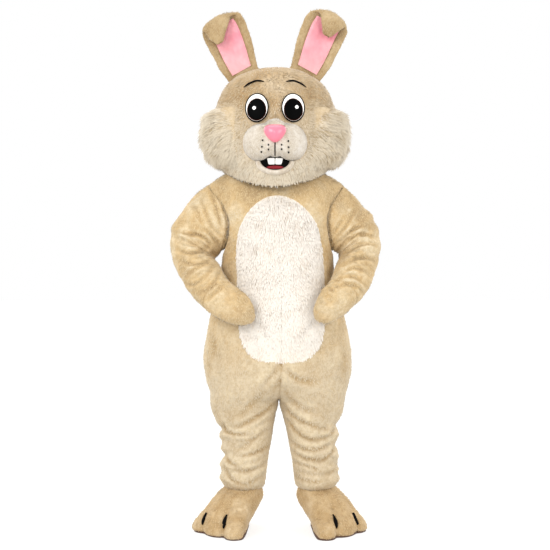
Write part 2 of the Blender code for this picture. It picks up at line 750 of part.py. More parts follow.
def arm_edges(side, section):
    rows = ARMS[side]
    sign = SIDES[side]
    value = {name: read(rows, "section", name, section) for name in rows[0]}
    outer = Vector((sign * value["outer_x"], value["y"], value["outer_z"]))
    inner = Vector((sign * value["inner_x"], value["y"], value["inner_z"]))
    return outer, inner, value["half_depth"]


def arm_frame(side, section):
    """Centre of a section of the arm, its half width and half depth as vectors, and the way down it."""
    outer, inner, half_depth = arm_edges(side, section)
    before = middle(*arm_edges(side, section - SECTION_REACH)[:2])
    after = middle(*arm_edges(side, section + SECTION_REACH)[:2])
    across = (outer - inner) / 2
    down = across.cross(FORWARD).normalized()
    if down.dot(after - before) < 0:
        down.negate()
    tilt = math.radians(read(ARM_TILT, "section", "tilt", section))
    front = -FORWARD * math.cos(tilt) - down * math.sin(tilt)
    along = down * math.cos(tilt) - FORWARD * math.sin(tilt)
    return middle(outer, inner), across, front * half_depth, along


def arm_ring(side, section):
    """One ring of the arm, from its outer edge round by the front."""
    centre, across, front, _ = arm_frame(side, section)
    ring = []
    for column in range(ARM_COLUMNS_AROUND):
        angle = 2 * math.pi * column / ARM_COLUMNS_AROUND
        rise = 0.0
        if section < SLEEVE_SECTIONS:
            rise = fold_rise(ARM_FOLDS[side], section, math.degrees(angle))
        out = across * math.cos(angle) + front * math.sin(angle)
        ring.append(centre + out + out.normalized() * rise)
    return ring


def sleeve_ring(side, section):
    """Ring of the sleeve, which leaves the armhole in the armhole's own shape."""
    hole = armhole_ring(side)
    if section == 0:
        return hole
    start, *start_axes = arm_frame(side, 0)
    centre, *axes = arm_frame(side, section)
    kept = eased(section / ARMHOLE_BLEND)
    ring = []
    for corner, point in zip(hole, arm_ring(side, section)):
        offset = corner - start
        moved = sum((new * (offset.dot(old) / old.dot(old)) for old, new in zip(start_axes, axes)), centre)
        ring.append(moved * kept + point * (1 - kept))
    return ring


def outward(ring):
    """Directions across a ring's wall, in the ring's own plane, so that walls on close rings stay apart."""
    centre = sum(ring, Vector()) / len(ring)
    pairs = list(zip(ring, ring[1:] + ring[:1]))
    axis = sum(((a - centre).cross(b - centre) for a, b in pairs), Vector()).normalized()
    return [
        (ring[(number + 1) % len(ring)] - ring[number - 1]).cross(axis).normalized()
        for number in range(len(ring))
    ]


def suit_form():
    form = Form()
    around = QUARTER + tuple(2 - place for place in QUARTER[-2::-1])
    leg_step = (CROTCH - HEM) / LEG_ROW_COUNT
    heights = TRUNK_ROWS + tuple(CROTCH - leg_step * (row + 1) for row in range(LEG_ROW_COUNT))
    for side, sign in SIDES.items():
        rows = [[suit_point(side, height, place) for place in around] for height in heights]

        def piece_of(row, column, side=side):
            if within(row, ARMHOLE_ROWS) and within(column, ARMHOLE_COLUMNS):
                return None
            if within(row, BELLY_ROWS) and within(column, BELLY_COLUMNS):
                return f"belly_{side}"
            return f"suit_front_{side}" if column <= LAST_FRONT_COLUMN else f"suit_back_{side}"

        form.grid(rows, piece_of, flip=sign < 0)
        steps = round(SLEEVE_SECTIONS / SLEEVE_STEP)
        sections = [step * SLEEVE_STEP for step in range(steps + 1)]
        sleeve = [sleeve_ring(side, section) for section in sections]
        mitt = [arm_ring(side, section) for section in MITT_SECTIONS]
        sleeve[-1] = mitt[0]
        for rings, piece in ((sleeve, f"sleeve_{side}"), (mitt, f"mitt_{side}")):
            closed = [ring + ring[:1] for ring in rings]
            form.grid(closed, lambda row, column, piece=piece: piece, flip=sign > 0)
        for ring in sleeve[1:] + mitt:
            for point, direction in zip(ring, outward(ring)):
                form.through[form.add(point)] = direction
        last, before = mitt[-1], mitt[-2]
        centre = sum(last, Vector()) / len(last)
        tip = centre + (centre - sum(before, Vector()) / len(before)).normalized() * MITT_TIP
        for first, second in zip(last, last[1:] + last[:1]):
            form.cell(f"mitt_{side}", (first, tip, second), flip=sign > 0)
    return form


def make_suit():
    form = suit_form()
    for side in SIDES:
        for half in ("front", "back"):
            form.solid(f"suit_{half}_{side}", "tan_plush", -PLUSH, 0.0)
        form.solid(f"belly_{side}", "white_pelt", -PLUSH, PELT)
        form.solid(f"sleeve_{side}", "tan_plush", -PLUSH, 0.0)
        form.solid(f"mitt_{side}", "tan_plush", -MITT_WALL, 0.0)
    heights = [height for height in TRUNK_ROWS if FLY["bottom"] <= height <= FLY["top"]]
    route = []
    for height in heights:
        seam = suit_point("left", height, 2.0)
        route.append(Vector((seam.x, 1.0, seam.z)))
    carrier = form.surface()
    half = FLY["half_width"]
    strip("back_fly", "tan_plush", route, half, FLY_SECTION, carrier, -FORWARD, clear=CLOSE_LAID)
    return form


# Feet


def leg_end(side):
    """The hem of a leg and the middles of its edges, from the inseam round by the front."""
    around = QUARTER + tuple(2 - place for place in QUARTER[-2:0:-1])
    corners = [suit_point(side, HEM, place) for place in around]
    ring = []
    for first, second in zip(corners, corners[1:] + corners[:1]):
        ring += [first, middle(first, second)]
    return ring


def sole_outline(side, grown=0.0):
    """Outline of the sole in step with the leg's hem, and the share of the toes' profile at each point."""
    ring = leg_end(side)
    ankle = sum(ring, Vector()) / len(ring)
    outline = []
    shares = []
    for point in FOOT_OUTLINE:
        out = point["out"] - FOOT_MIDDLE["out"]
        ahead = point["ahead"] - FOOT_MIDDLE["ahead"]
        bigger = 1 + grown / math.hypot(out, ahead)
        x = SIDES[side] * (FOOT_MIDDLE["out"] + out * bigger)
        y = -(FOOT_MIDDLE["ahead"] + ahead * bigger)
        outline.append(Vector((ankle.x + x, ankle.y + y, 0)))
        shares.append(((1 + math.cos(math.atan2(out, ahead) - FOOT_TURN)) / 2) ** TOES_SHARE)
    return outline, shares


def foot_rows(side):
    """Rings of the foot from the ankle down to the sole."""
    outline, shares = sole_outline(side)
    rows = []
    for number, profile in enumerate(FOOT_PROFILE):
        row = []
        for top, bottom, share in zip(leg_end(side), outline, shares):
            place = top.lerp(bottom, profile["toe"] * share + profile["heel"] * (1 - share))
            place.z = SOLE + SEAM + (HEM - SEAM - SOLE - SEAM) * profile["up"]
            row.append(place)
        if number in NOTCHED_ROWS:
            for notch in TOE_NOTCHES.values():
                row[notch].z -= TOE_NOTCH_DROP
        rows.append(row + row[:1])
    return rows


def make_foot(side):
    flip = SIDES[side] > 0
    form = Form()
    rows = foot_rows(side)
    name = f"foot_{side}"
    form.grid(rows, lambda row, column: name, flip=not flip)
    form.solid(name, "tan_plush", -PLUSH, 0.0)
    bottom, _ = sole_outline(side, SOLE_EDGE)
    points = [point + Vector((0, 0, SOLE)) for point in bottom] + bottom
    count = len(bottom)
    faces = [tuple(range(count)), tuple(range(2 * count - 1, count - 1, -1))]
    faces += [
        (number, number + count, (number + 1) % count + count, (number + 1) % count)
        for number in range(count)
    ]
    if not flip:
        faces = [tuple(reversed(face)) for face in faces]
    solid_object(f"sole_{side}", "brown_sole", points, faces)
    carrier = form.surface()
    toward = TOE_MARK_TOWARD
    for mark, column in TOE_NOTCHES.items():
        line = [rows[number][column] for number in NOTCHED_ROWS]
        places = [line[0], middle(*line[:2]), line[1], middle(*line[1:])]
        route = [point - toward * START_OUT for point in places]
        strip(f"toe_mark_{mark}_{side}", "black_felt", route, TOE_MARK, MARK_SECTION, carrier, toward)


# Head


def head_point(row, angle):
    """Point of the head; angle 0 is the front and a quarter turn is the wearer's left."""
    ahead = math.cos(angle)
    depth = row["front"] if ahead > 0 else row["back"]
    dip = row["front_dip"] if ahead > 0 else row["back_dip"]
    return Vector((row["half_width"] * math.sin(angle), -depth * ahead, row["height"] - dip * ahead * ahead))


def head_form():
    form = Form()
    angles = [2 * math.pi * column / HEAD_COLUMNS for column in range(HEAD_COLUMNS + 1)]
    rows = [[head_point(row, angle) for angle in angles] for row in HEAD]
    quarter = HEAD_COLUMNS // 4

    def piece_of(row, column):
        return "head_back" if quarter <= column < 3 * quarter else "head_front"

    form.grid(rows, piece_of)
    crown = Vector((0, 0, CROWN))
    for column in range(HEAD_COLUMNS):
        form.cell(piece_of(0, column), (crown, rows[0][column], rows[0][column + 1]))
    return form, rows


def make_head():
    form, rows = head_form()
    form.solid("head_front", "head_fur", -FOAM, 0.0)
    form.solid("head_back", "head_fur", -FOAM, 0.0)
    for side, sign in SIDES.items():
        cheek = Form()
        first, last = CHEEK_ROWS
        chosen = [column * sign % HEAD_COLUMNS for column in range(CHEEK_TURN[0], CHEEK_TURN[1] + 1)]
        part = [[rows[row][column] for column in chosen] for row in range(first, last + 1)]
        name = f"cheek_{side}"
        corners = ((0, 0), (0, len(chosen) - 2))
        cheek.grid(part, lambda row, column: None if (row, column) in corners else name, flip=sign < 0)
        cheek.cell(name, (part[1][0], part[1][1], part[0][1]), flip=sign < 0)
        cheek.cell(name, (part[1][-2], part[1][-1], part[0][-2]), flip=sign < 0)
        head_normals = form.normals()
        cheek.normal_of = [head_normals[form.add(point)] for point in cheek.points]
        depths = {}
        for row in part:
            for point, share in zip(row, CHEEK_SHARE):
                depths[tuple(point)] = share * read(CHEEK_DEPTH, "height", "depth", point.z)
        for point, share in zip(part[0], CHEEK_SHARE):
            depths[tuple(point)] = share * CHEEK_TOP
        cheek.solid(name, "cream_fur", SEAM, lambda point: depths[tuple(point)])
    return form


def oval_radius(oval, grown=0.0):
    def radius(angle):
        x = math.cos(angle) / (oval["half_x"] + grown)
        z = math.sin(angle) / (oval["half_z"] + grown)
        return 1 / math.hypot(x, z)

    return radius


def muzzle_radius(angle):
    """Outline of the muzzle: its lobes' ovals run smoothly together."""
    total = 0.0
    for lobe in MUZZLE_LOBES:
        x0 = (MUZZLE_CENTRE[0] - lobe["x"]) / lobe["half_x"]
        z0 = (MUZZLE_CENTRE[1] - lobe["z"]) / lobe["half_z"]
        dx = math.cos(angle) / lobe["half_x"]
        dz = math.sin(angle) / lobe["half_z"]
        a = dx * dx + dz * dz
        b = x0 * dx + z0 * dz
        c = x0 * x0 + z0 * z0 - 1
        inside = b * b - a * c
        if inside > 0:
            total += max((-b + math.sqrt(inside)) / a, 0.0) ** MUZZLE_ROUND
    return total ** (1 / MUZZLE_ROUND)


def cornered(radius, spokes):
    """The outline of the polygon whose corners are on a round outline."""
    step = 2 * math.pi / spokes

    def straight(angle):
        first = math.floor(angle / step) * step
        start, end = radius(first), radius(first + step)
        spread = start * math.sin(angle - first) + end * math.sin(first + step - angle)
        return start * end * math.sin(step) / spread

    return straight


def trimmed(centre, radius, allowed):
    """The outline, drawn in until every place on it is allowed."""

    def shortened(angle):
        reach = radius(angle)
        while reach > TRIM_LEAST:
            if allowed(centre[0] + reach * math.cos(angle), centre[1] + reach * math.sin(angle)):
                break
            reach -= TRIM_STEP
        return reach

    return shortened


def beside_muzzle(x, z):
    x -= MUZZLE_CENTRE[0]
    z -= MUZZLE_CENTRE[1]
    edge = cornered(muzzle_radius, MUZZLE_SPOKES)(math.atan2(z, x))
    return math.hypot(x, z) > edge + CLEAR_OF_MUZZLE


def inside(centre, radius, margin):
    return lambda x, z: math.hypot(x - centre[0], z - centre[1]) < radius(
        math.atan2(z - centre[1], x - centre[0])
    ) - margin


def rounded_radius(sides, power):
    """Outline bounded by straight sides, each (normal x, normal z, distance), with rounded corners."""

    def radius(angle):
        x, z = math.cos(angle), math.sin(angle)
        total = sum(max((x * side[0] + z * side[1]) / side[2], 0.0) ** power for side in sides)
        return total ** (-1 / power)

    return radius


def dome(edge, rise):
    return lambda out, x, z: edge + rise * math.sqrt(max(1 - out * out, 0.0))


def make_muzzle(face):
    def height(out, x, z):
        swell = math.sqrt(max(1 - out**MUZZLE_SWELL, 0.0))
        groove = math.exp(-((x / PHILTRUM_WIDTH) ** 2)) if z < NOSE_CENTRE[1] else 0.0
        return MUZZLE_EDGE + MUZZLE_DEPTH * swell * (1 - PHILTRUM_DIP * groove)

    return plate(
        "muzzle",
        "head_fur",
        MUZZLE_CENTRE,
        muzzle_radius,
        face,
        height,
        spokes=MUZZLE_SPOKES,
        rings=MUZZLE_RINGS,
        clear=BROAD_LAID,
    )


def make_eye(side, face):
    sign = SIDES[side]
    centre = (sign * EYE["x"], EYE["z"])
    outline = trimmed(centre, oval_radius(EYE), beside_muzzle)
    inner = trimmed(centre, oval_radius(EYE, -EYE_RIM), inside(centre, outline, EYE_RIM / 2))
    rim = plate(
        f"eye_rim_{side}", "black_plastic", centre, outline, face, dome(*EYE_RIM_DOME), clear=BROAD_LAID
    )
    white = plate(
        f"eye_white_{side}", "white_plastic", centre, inner, outer_surface(rim), dome(*EYE_WHITE_DOME)
    )
    at = (sign * IRIS["x"], IRIS["z"])
    ring = trimmed(at, oval_radius(IRIS), inside(centre, inner, EYE_RIM / 2))
    iris = plate(f"iris_{side}", "brown_plastic", at, ring, outer_surface(white), dome(*IRIS_DOME))
    plate(
        f"pupil_{side}",
        "black_plastic",
        at,
        lambda angle: ring(angle) - PUPIL_RIM,
        outer_surface(iris),
        dome(*PUPIL_DOME),
    )


def make_mouth(face):
    centre = (MOUTH["x"], MOUTH["z"] - MOUTH["half_z"] / 2)

    def gape(x, z):
        out = math.hypot(x / MOUTH["half_x"], (z - MOUTH["z"]) / MOUTH["half_z"])
        return (out < 1 or z > MOUTH["z"] and abs(x) < MOUTH["half_x"]) and beside_muzzle(x, z)

    outline = trimmed(centre, lambda angle: MOUTH["half_x"], gape)
    form = dome(*MOUTH_DOME)
    lining = plate("mouth_lining", "black_felt", centre, outline, face, form, spokes=MOUTH_SPOKES)
    floor = outer_surface(lining)
    at = (TONGUE["x"], TONGUE["z"])
    plate("tongue", "red_felt", at, oval_radius(TONGUE), floor, dome(*TONGUE_DOME), clear=CLOSE_LAID)
    for side, sign in SIDES.items():
        at = (sign * TOOTH["x"], TOOTH["z"])
        sides = (
            (1, 0, TOOTH["half_x"]),
            (-1, 0, TOOTH["half_x"]),
            (0, -1, TOOTH["half_z"]),
            (0, 1, TOOTH["half_z"]),
        )
        within_mouth = inside(centre, outline, CLEAR_OF_MUZZLE / 2)
        edge = trimmed(at, rounded_radius(sides, TOOTH_ROUND), within_mouth)
        name = f"tooth_{side}"
        plate(name, "white_plastic", at, edge, floor, dome(*TOOTH_DOME), clear=CLOSE_LAID)
    route = []
    for step in range(LIP_STEPS + 1):
        angle = LIP_TURN[0] + (LIP_TURN[1] - LIP_TURN[0]) * step / LIP_STEPS
        x = (MOUTH["half_x"] + LIP_OUT) * math.cos(angle)
        z = MOUTH["z"] + (MOUTH["half_z"] + LIP_OUT) * math.sin(angle)
        route.append(Vector((x, -1, z)))
    strip("lower_lip", "head_fur", route, LIP_WIDTH, LIP_SECTION, face, FORWARD)


def make_brow(side, face):
    sign = SIDES[side]
    route = []
    for step in range(BROW_STEPS + 1):
        x = BROWS[0]["x"] + (BROWS[-1]["x"] - BROWS[0]["x"]) * step / BROW_STEPS
        route.append(Vector((sign * x, -1, read(BROWS, "x", "z", x))))
    strip(f"brow_{side}", "black_felt", route, BROW_WIDTH, BROW_SECTION, face, FORWARD)


def make_philtrum(muzzle):
    down = muzzle_radius(-math.pi / 2)
    places = [ring_out(ring, MUZZLE_RINGS) for ring in range(1, MUZZLE_RINGS)]
    route = [Vector((0, -1, MUZZLE_CENTRE[1] - down * out)) for out in places]
    strip("philtrum", "black_felt", route, PHILTRUM_LINE, LINE_SECTION, outer_surface(muzzle), FORWARD)


# Ears


def ear_point(ear, along, turn):
    """Point of a padded ear. turn goes round its section: a quarter turn is the middle of the front."""
    sign = SIDES[ear["side"]]
    half = read(EAR, "along", "half_width", along)
    tip = max(along - ear["fold_start"], 0.0) / (EAR[-1]["along"] - ear["fold_start"])
    centre = read(EAR, "along", "centre", along) + ear["tip_shift"] * tip
    across = centre + half * math.cos(turn)
    thick = EAR_THICK * min(1.0, half / EAR_THIN_HALF) * math.sin(turn)
    cup = EAR_CUP * (math.cos(turn) * half / EAR_CUP_HALF) ** 2
    past = along - ear["fold_start"]
    angle = min(max(past / FOLD_RADIUS, 0.0), FOLD_TURN)
    straight = max(past - FOLD_RADIUS * FOLD_TURN, 0.0)
    up = min(along, ear["fold_start"]) + FOLD_RADIUS * math.sin(angle) + straight * math.cos(angle)
    out = FOLD_RADIUS * (1 - math.cos(angle)) + straight * math.sin(angle)
    lift = thick + cup
    up -= math.sin(angle) * lift
    out += math.cos(angle) * lift
    lean = ear["lean"]
    x = ear["x"] + up * math.sin(lean) + across * math.cos(lean)
    z = ear["z"] + up * math.cos(lean) - across * math.sin(lean)
    return Vector((sign * x, ear["y"] - out, z))


def make_ear(ear, head):
    side = ear["side"]
    sign = SIDES[side]
    turns = [2 * math.pi * column / EAR_COLUMNS for column in range(EAR_COLUMNS)]
    moved = ear["fold_start"] - EAR_FOLD_ROW
    lengths = [along + moved if along >= EAR_FOLD_ROW else along for along in EAR_ROWS]
    lengths[-1] = EAR[-1]["along"]
    rows = [[ear_point(ear, along, turn) for turn in turns] for along in lengths]
    down = -Vector((sign * math.sin(ear["lean"]), 0, math.cos(ear["lean"])))
    rows[0] = [meet(head, point - down * START_OUT / 3, down) - down * BROAD_LAID for point in rows[1]]
    form = Form()
    name = f"ear_{side}"
    form.grid([row + row[:1] for row in rows], lambda row, column: name, flip=sign < 0)
    for row, flip in ((rows[0], sign < 0), (rows[-1], sign > 0)):
        for column in range(EAR_COLUMNS // 2):
            behind = EAR_COLUMNS - column
            corners = (row[column], row[column + 1], row[behind - 1], row[behind % EAR_COLUMNS])
            form.cell(name, corners, flip)
    solid_object(name, "head_fur", form.points, [corners for _, corners in form.triangles])
    normals = form.normals()
    lining = Form()
    first, last = LINING_ROWS
    part = [rows[row][LINING_TURN[0] : LINING_TURN[1] + 1] for row in range(first, last + 1)]
    lining.grid(part, lambda row, column: f"ear_lining_{side}", flip=sign < 0)
    lining.normal_of = [normals[form.add(point)] for point in lining.points]
    lining.solid(f"ear_lining_{side}", "pink_satin", SEAM, SEAM + LINING)


def main():
    for old in list(bpy.data.objects):
        bpy.data.objects.remove(old, do_unlink=True)
    for finish in FINISHES:
        made = bpy.data.materials.new(finish["name"])
        made.use_nodes = True
        shader = made.node_tree.nodes["Principled BSDF"]
        shader.inputs["Base Color"].default_value = (*finish["colour"], 1)
        shader.inputs["Roughness"].default_value = finish["roughness"]
        shader.inputs["Metallic"].default_value = 0.0
    carried = bpy.data.objects.new("worn_form", None)
    carried.location = (0, 0, -HOLD_HEIGHT)
    bpy.context.scene.collection.objects.link(carried)
    make_suit()
    for side in SIDES:
        make_foot(side)
    face = make_head().surface()
    muzzle = make_muzzle(face)
    plate(
        "nose",
        "pink_vinyl",
        NOSE_CENTRE,
        rounded_radius(NOSE_SIDES, NOSE_ROUND),
        outer_surface(muzzle),
        dome(NOSE_EDGE, NOSE_DEPTH),
        spokes=NOSE_SPOKES,
        rings=NOSE_RINGS,
        clear=NOSE_LAID,
    )
    make_philtrum(muzzle)
    make_mouth(face)
    for side in SIDES:
        make_eye(side, face)
        make_brow(side, face)
    for ear in EARS:
        make_ear(ear, face)


main()
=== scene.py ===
# %% [markdown]
# # A plush rabbit costume
# The real thing is a one-piece suit of short plush with a long-pile belly, a foam head under fur, mitts and
# big soft feet. It stands here filled out, as it does when it is worn. Every piece of cloth is made as a fine
# skin on the form of its plain solid, then given creases, seams and pile.

import json
import math

import bpy
import numpy as np
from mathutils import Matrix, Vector, noise
from mathutils.bvhtree import BVHTree
from mathutils.kdtree import KDTree

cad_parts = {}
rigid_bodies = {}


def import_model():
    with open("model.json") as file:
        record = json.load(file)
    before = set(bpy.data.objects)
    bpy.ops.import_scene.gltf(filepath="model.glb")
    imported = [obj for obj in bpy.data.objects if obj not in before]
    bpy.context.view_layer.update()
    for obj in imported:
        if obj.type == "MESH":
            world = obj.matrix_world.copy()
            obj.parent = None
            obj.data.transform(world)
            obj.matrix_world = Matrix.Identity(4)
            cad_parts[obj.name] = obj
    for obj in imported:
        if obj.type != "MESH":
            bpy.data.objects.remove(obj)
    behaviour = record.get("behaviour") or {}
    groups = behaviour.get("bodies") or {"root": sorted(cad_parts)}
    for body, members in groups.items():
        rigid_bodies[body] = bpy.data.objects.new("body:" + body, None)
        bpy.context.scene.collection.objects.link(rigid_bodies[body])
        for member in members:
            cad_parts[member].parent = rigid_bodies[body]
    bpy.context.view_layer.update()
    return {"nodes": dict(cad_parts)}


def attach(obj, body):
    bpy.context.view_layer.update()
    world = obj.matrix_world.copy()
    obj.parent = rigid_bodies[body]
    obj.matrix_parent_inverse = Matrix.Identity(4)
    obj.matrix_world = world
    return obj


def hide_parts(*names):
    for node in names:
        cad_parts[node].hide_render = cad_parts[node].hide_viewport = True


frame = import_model()
nodes = frame["nodes"]
print(len(nodes), "solids")

# %% [markdown]
# The origin is between the wearer's shoulders, 1.45 m above the floor. All heights below are measured from
# the floor, as a costume maker would, so one constant takes them to the shared frame. The tables are in
# millimetres where a column says so, and are read as metres.

# %% Sizes that hold everywhere
HOLD_HEIGHT = 1.45
SIDES = {"left": 1, "right": -1}
CHANCE = np.random.default_rng(7)
noise.seed_set(7)  # Blender's noise vectors start from the clock until they are given a seed


UNITS = {
    "": float,
    "mm": lambda cell: float(cell) / 1000,
    "deg": lambda cell: math.radians(float(cell)),
    "word": str,
}


def table(text):
    """Rows of a table as dictionaries. Its first line names the columns, each with its unit if it has one.

    A row that is a cell short begins as the row above it does.
    """
    heads, *rows = [line.split() for line in text.strip().splitlines()]
    for above, row in zip(rows, rows[1:]):
        row[:0] = above[: len(heads) - len(row)]
    columns = [head.partition("/") for head in heads]
    return [{name: UNITS[unit](cell) for (name, _, unit), cell in zip(columns, row)} for row in rows]


def reader(rows, key, column):
    """Smooth curve through one column of a table, with no overshoot, for whole arrays."""
    rows = sorted(rows, key=lambda row: row[key])
    x = np.array([row[key] for row in rows], float)
    y = np.array([row[column] for row in rows], float)
    step = np.diff(y) / np.diff(x)
    slope = np.concatenate([step[:1], np.zeros(len(x) - 2), step[-1:]])
    before, after = step[:-1], step[1:]
    same = before * after > 0
    total = np.where(same, before + after, 1.0)
    slope[1:-1] = np.where(same, 2 * before * after / total, 0.0)

    def at(value):
        value = np.clip(value, x[0], x[-1])
        here = np.clip(np.searchsorted(x, value) - 1, 0, len(x) - 2)
        width = x[here + 1] - x[here]
        t = (value - x[here]) / width
        start, end = slope[here] * width, slope[here + 1] * width
        rise = y[here + 1] - y[here]
        return y[here] + start * t + (3 * rise - 2 * start - end) * t**2 + (start + end - 2 * rise) * t**3

    return at


def eased(distance):
    """1 at distance 0, falling smoothly to 0 at distance 1."""
    t = np.clip(distance, 0, 1)
    return 1 - t * t * (3 - 2 * t)


def split(values, step):
    """A list of places with more between them, so that none are further apart than step."""
    out = []
    for start, end in zip(values, values[1:]):
        count = max(1, math.ceil(abs(end - start) / step))
        out += [start + (end - start) * n / count for n in range(count)]
    return out + [values[-1]]


# %% [markdown]
# ## The camera and the light
# A photographer takes such a costume from straight ahead, from about the height of its belly and from far
# away, in a white room with big soft lamps.

# %% Camera and lamps
CAMERA_AWAY = 4.6
CAMERA_HEIGHT = 1.045
LENS_MM = 72.5
SENSOR_MM = 36

camera = bpy.data.objects.new("camera", bpy.data.cameras.new("camera"))
bpy.context.scene.collection.objects.link(camera)
camera.location = (0, -CAMERA_AWAY, CAMERA_HEIGHT - HOLD_HEIGHT)
camera.rotation_euler = (math.radians(90), 0, 0)
camera.data.lens = LENS_MM
camera.data.sensor_width = SENSOR_MM
bpy.context.scene.camera = camera


def lamp(name, x, y, z, aim, size, watts):
    """A soft square lamp at a place, turned towards a height on the middle line of the costume."""
    light = bpy.data.lights.new(name, "AREA")
    light.shape = "SQUARE"
    light.size = size
    light.energy = watts
    made = bpy.data.objects.new(name, light)
    made.location = (x, y, z)
    made.rotation_mode = "QUATERNION"
    made.rotation_quaternion = (Vector((0, 0, aim)) - made.location).to_track_quat("-Z", "Y")
    bpy.context.scene.collection.objects.link(made)


LAMPS = table("""
name/word x y z aim size watts
key_lamp        -2.2 -3.0 1.40 -0.3 1.80 66
fill_lamp        2.6 -3.0 0.70 -0.4 2.20 44
top_lamp         0.0  0.4 2.60 -0.5 2.40 22
small_lamp      -0.5 -4.0 0.75  0.1 0.22 16
back_lamp_left   2.4  2.2 1.20 -0.2 1.80 45
back_lamp_right -2.4  2.2 1.20 -0.2 1.80 45
""")
for row in LAMPS:
    lamp(**row)
world = bpy.data.worlds.new("white_room")
world.use_nodes = True
room = world.node_tree.nodes["Background"]
room.inputs["Color"].default_value = (1, 1, 1, 1)
room.inputs["Strength"].default_value = 1.0
bpy.context.scene.world = world
bpy.context.scene.view_settings.view_transform = "Standard"

# %% [markdown]
# ## Colours and finishes
# Plush and fur are polyester pile. Each hair is a thin smooth rod, so cloth of them is matt head on and
# glows at its edges, which the shader's sheen gives. Brushing and wear leave patches where the pile lies
# another way and looks darker or more golden.

# %% Helpers for materials


def linear(colour):
    """A colour written as sRGB hex, in the linear numbers that the shader takes."""
    parts = [int(colour[n : n + 2], 16) / 255 for n in (1, 3, 5)]
    return (*((c / 12.92 if c <= 0.04045 else ((c + 0.055) / 1.055) ** 2.4) for c in parts), 1.0)


def node(tree, kind, links=(), **settings):
    """Adds a shader node. settings are its properties, or its inputs' values where the name is an input's."""
    made = tree.nodes.new(kind)
    for name, value in settings.items():
        label = name.replace("_", " ")
        if label in made.inputs:
            made.inputs[label].default_value = value
        else:
            setattr(made, name, value)
    for source, target in links:
        tree.links.new(source, made.inputs[target])
    return made


def finish(name, colour, roughness, **inputs):
    """A new material with its shader set, its tree and its shader."""
    made = bpy.data.materials.new(name)
    made.use_nodes = True
    shader = made.node_tree.nodes["Principled BSDF"]
    shader.inputs["Base Color"].default_value = linear(colour)
    shader.inputs["Roughness"].default_value = roughness
    for label, value in inputs.items():
        shader.inputs[label.replace("_", " ")].default_value = value
    return made, made.node_tree, shader


def ramp(tree, source, *stops):
    """A colour ramp through (place, colour) stops."""
    made = tree.nodes.new("ShaderNodeValToRGB")
    points = made.color_ramp.elements
    while len(points) < len(stops):
        points.new(0.5)
    for point, (place, colour) in zip(points, stops):
        point.position = place
        point.color = linear(colour)
    tree.links.new(source, made.inputs["Fac"])
    return made


def mix(tree, share, first, second, blend="MIX"):
    """Mixes two colours; each of them, and the share, is a socket or a value."""
    made = tree.nodes.new("ShaderNodeMix")
    made.data_type = "RGBA"
    made.blend_type = blend
    for target, value in ((0, share), (6, first), (7, second)):
        if isinstance(value, bpy.types.NodeSocket):
            tree.links.new(value, made.inputs[target])
        else:
            made.inputs[target].default_value = value
    return made.outputs[2]


def paler_below(tree, place, colour, paler, top, bottom, most):
    """Mixes in a paler colour from none at the height top to its most at the height bottom."""
    height = node(tree, "ShaderNodeSeparateXYZ", [(place, "Vector")]).outputs["Z"]
    share = node(tree, "ShaderNodeMapRange", [(height, "Value")], From_Min=top, From_Max=bottom, To_Max=most)
    return mix(tree, share.outputs["Result"], colour, linear(paler))


# %% [markdown]
# Knitted pile is coloured by patch and by tuft. Creases and seams carry painted shade in their troughs and a
# painted highlight on their ridges.

# %% Pile cloth


def pile(name, deep, middle, pale, patch_mm=55, tuft_mm=5, bump_mm=1.2, sheen=0.35, below=None):
    """Pile cloth: patches of colour, tufts, and the relief that the mesh carries as its attribute 'lift',
    which gives painted shade in its troughs and a painted highlight on its ridges.

    below is what paler_below takes: the paler colour, where it begins and ends, and its share.
    """
    made, tree, shader = finish(name, middle, 0.95, Sheen_Weight=sheen, Sheen_Roughness=0.55)
    shader.inputs["Specular IOR Level"].default_value = 0.15
    shader.inputs["Sheen Tint"].default_value = linear(pale)
    place = node(tree, "ShaderNodeTexCoord").outputs["Object"]
    patches = node(tree, "ShaderNodeTexNoise", [(place, "Vector")], Scale=1000 / patch_mm / 2, Detail=3.0)
    colour = ramp(tree, patches.outputs["Fac"], (0.3, deep), (0.5, middle), (0.72, pale)).outputs["Color"]
    lift = node(tree, "ShaderNodeAttribute", attribute_name="lift").outputs["Fac"]
    low = node(
        tree, "ShaderNodeMapRange", [(lift, "Value")], From_Min=-1.0, From_Max=0.0, To_Min=1.0, To_Max=0.0
    )
    high = node(tree, "ShaderNodeMapRange", [(lift, "Value")], From_Min=0.0, From_Max=1.0)
    if below:
        colour = paler_below(tree, place, colour, *below)
    # painted shade in the troughs of creases and seams, painted highlight on their ridges
    colour = mix(tree, low.outputs["Result"], colour, linear(deep))
    colour = mix(tree, high.outputs["Result"], colour, linear(pale))
    # Tufts and grains are darker where the bump below sinks them: partly their own tone, partly painted shade
    # in their hollows.
    grain = node(
        tree, "ShaderNodeTexNoise", [(place, "Vector")], Scale=1000 / tuft_mm, Detail=4.0, Roughness=0.7
    )
    grain_shade = ramp(tree, grain.outputs["Fac"], (0.3, "#e4dcd2"), (0.62, "#ffffff")).outputs["Color"]
    colour = mix(tree, 0.55, colour, grain_shade, "MULTIPLY")
    tuft = node(tree, "ShaderNodeTexNoise", [(place, "Vector")], Scale=330 / tuft_mm, Detail=2.0, Roughness=0.6)
    dip = ramp(tree, tuft.outputs["Fac"], (0.36, "#d9cebe"), (0.6, "#ffffff")).outputs["Color"]
    colour = mix(tree, 0.5, colour, dip, "MULTIPLY")
    tree.links.new(colour, shader.inputs["Base Color"])
    links = [(tuft.outputs["Fac"], "Height")]
    coarse = node(tree, "ShaderNodeBump", links, Strength=0.7, Distance=2.4 * bump_mm / 1000)
    links = [(grain.outputs["Fac"], "Height"), (coarse.outputs["Normal"], "Normal")]
    bump = node(tree, "ShaderNodeBump", links, Strength=0.8, Distance=bump_mm / 1000)
    tree.links.new(bump.outputs["Normal"], shader.inputs["Normal"])
    return made
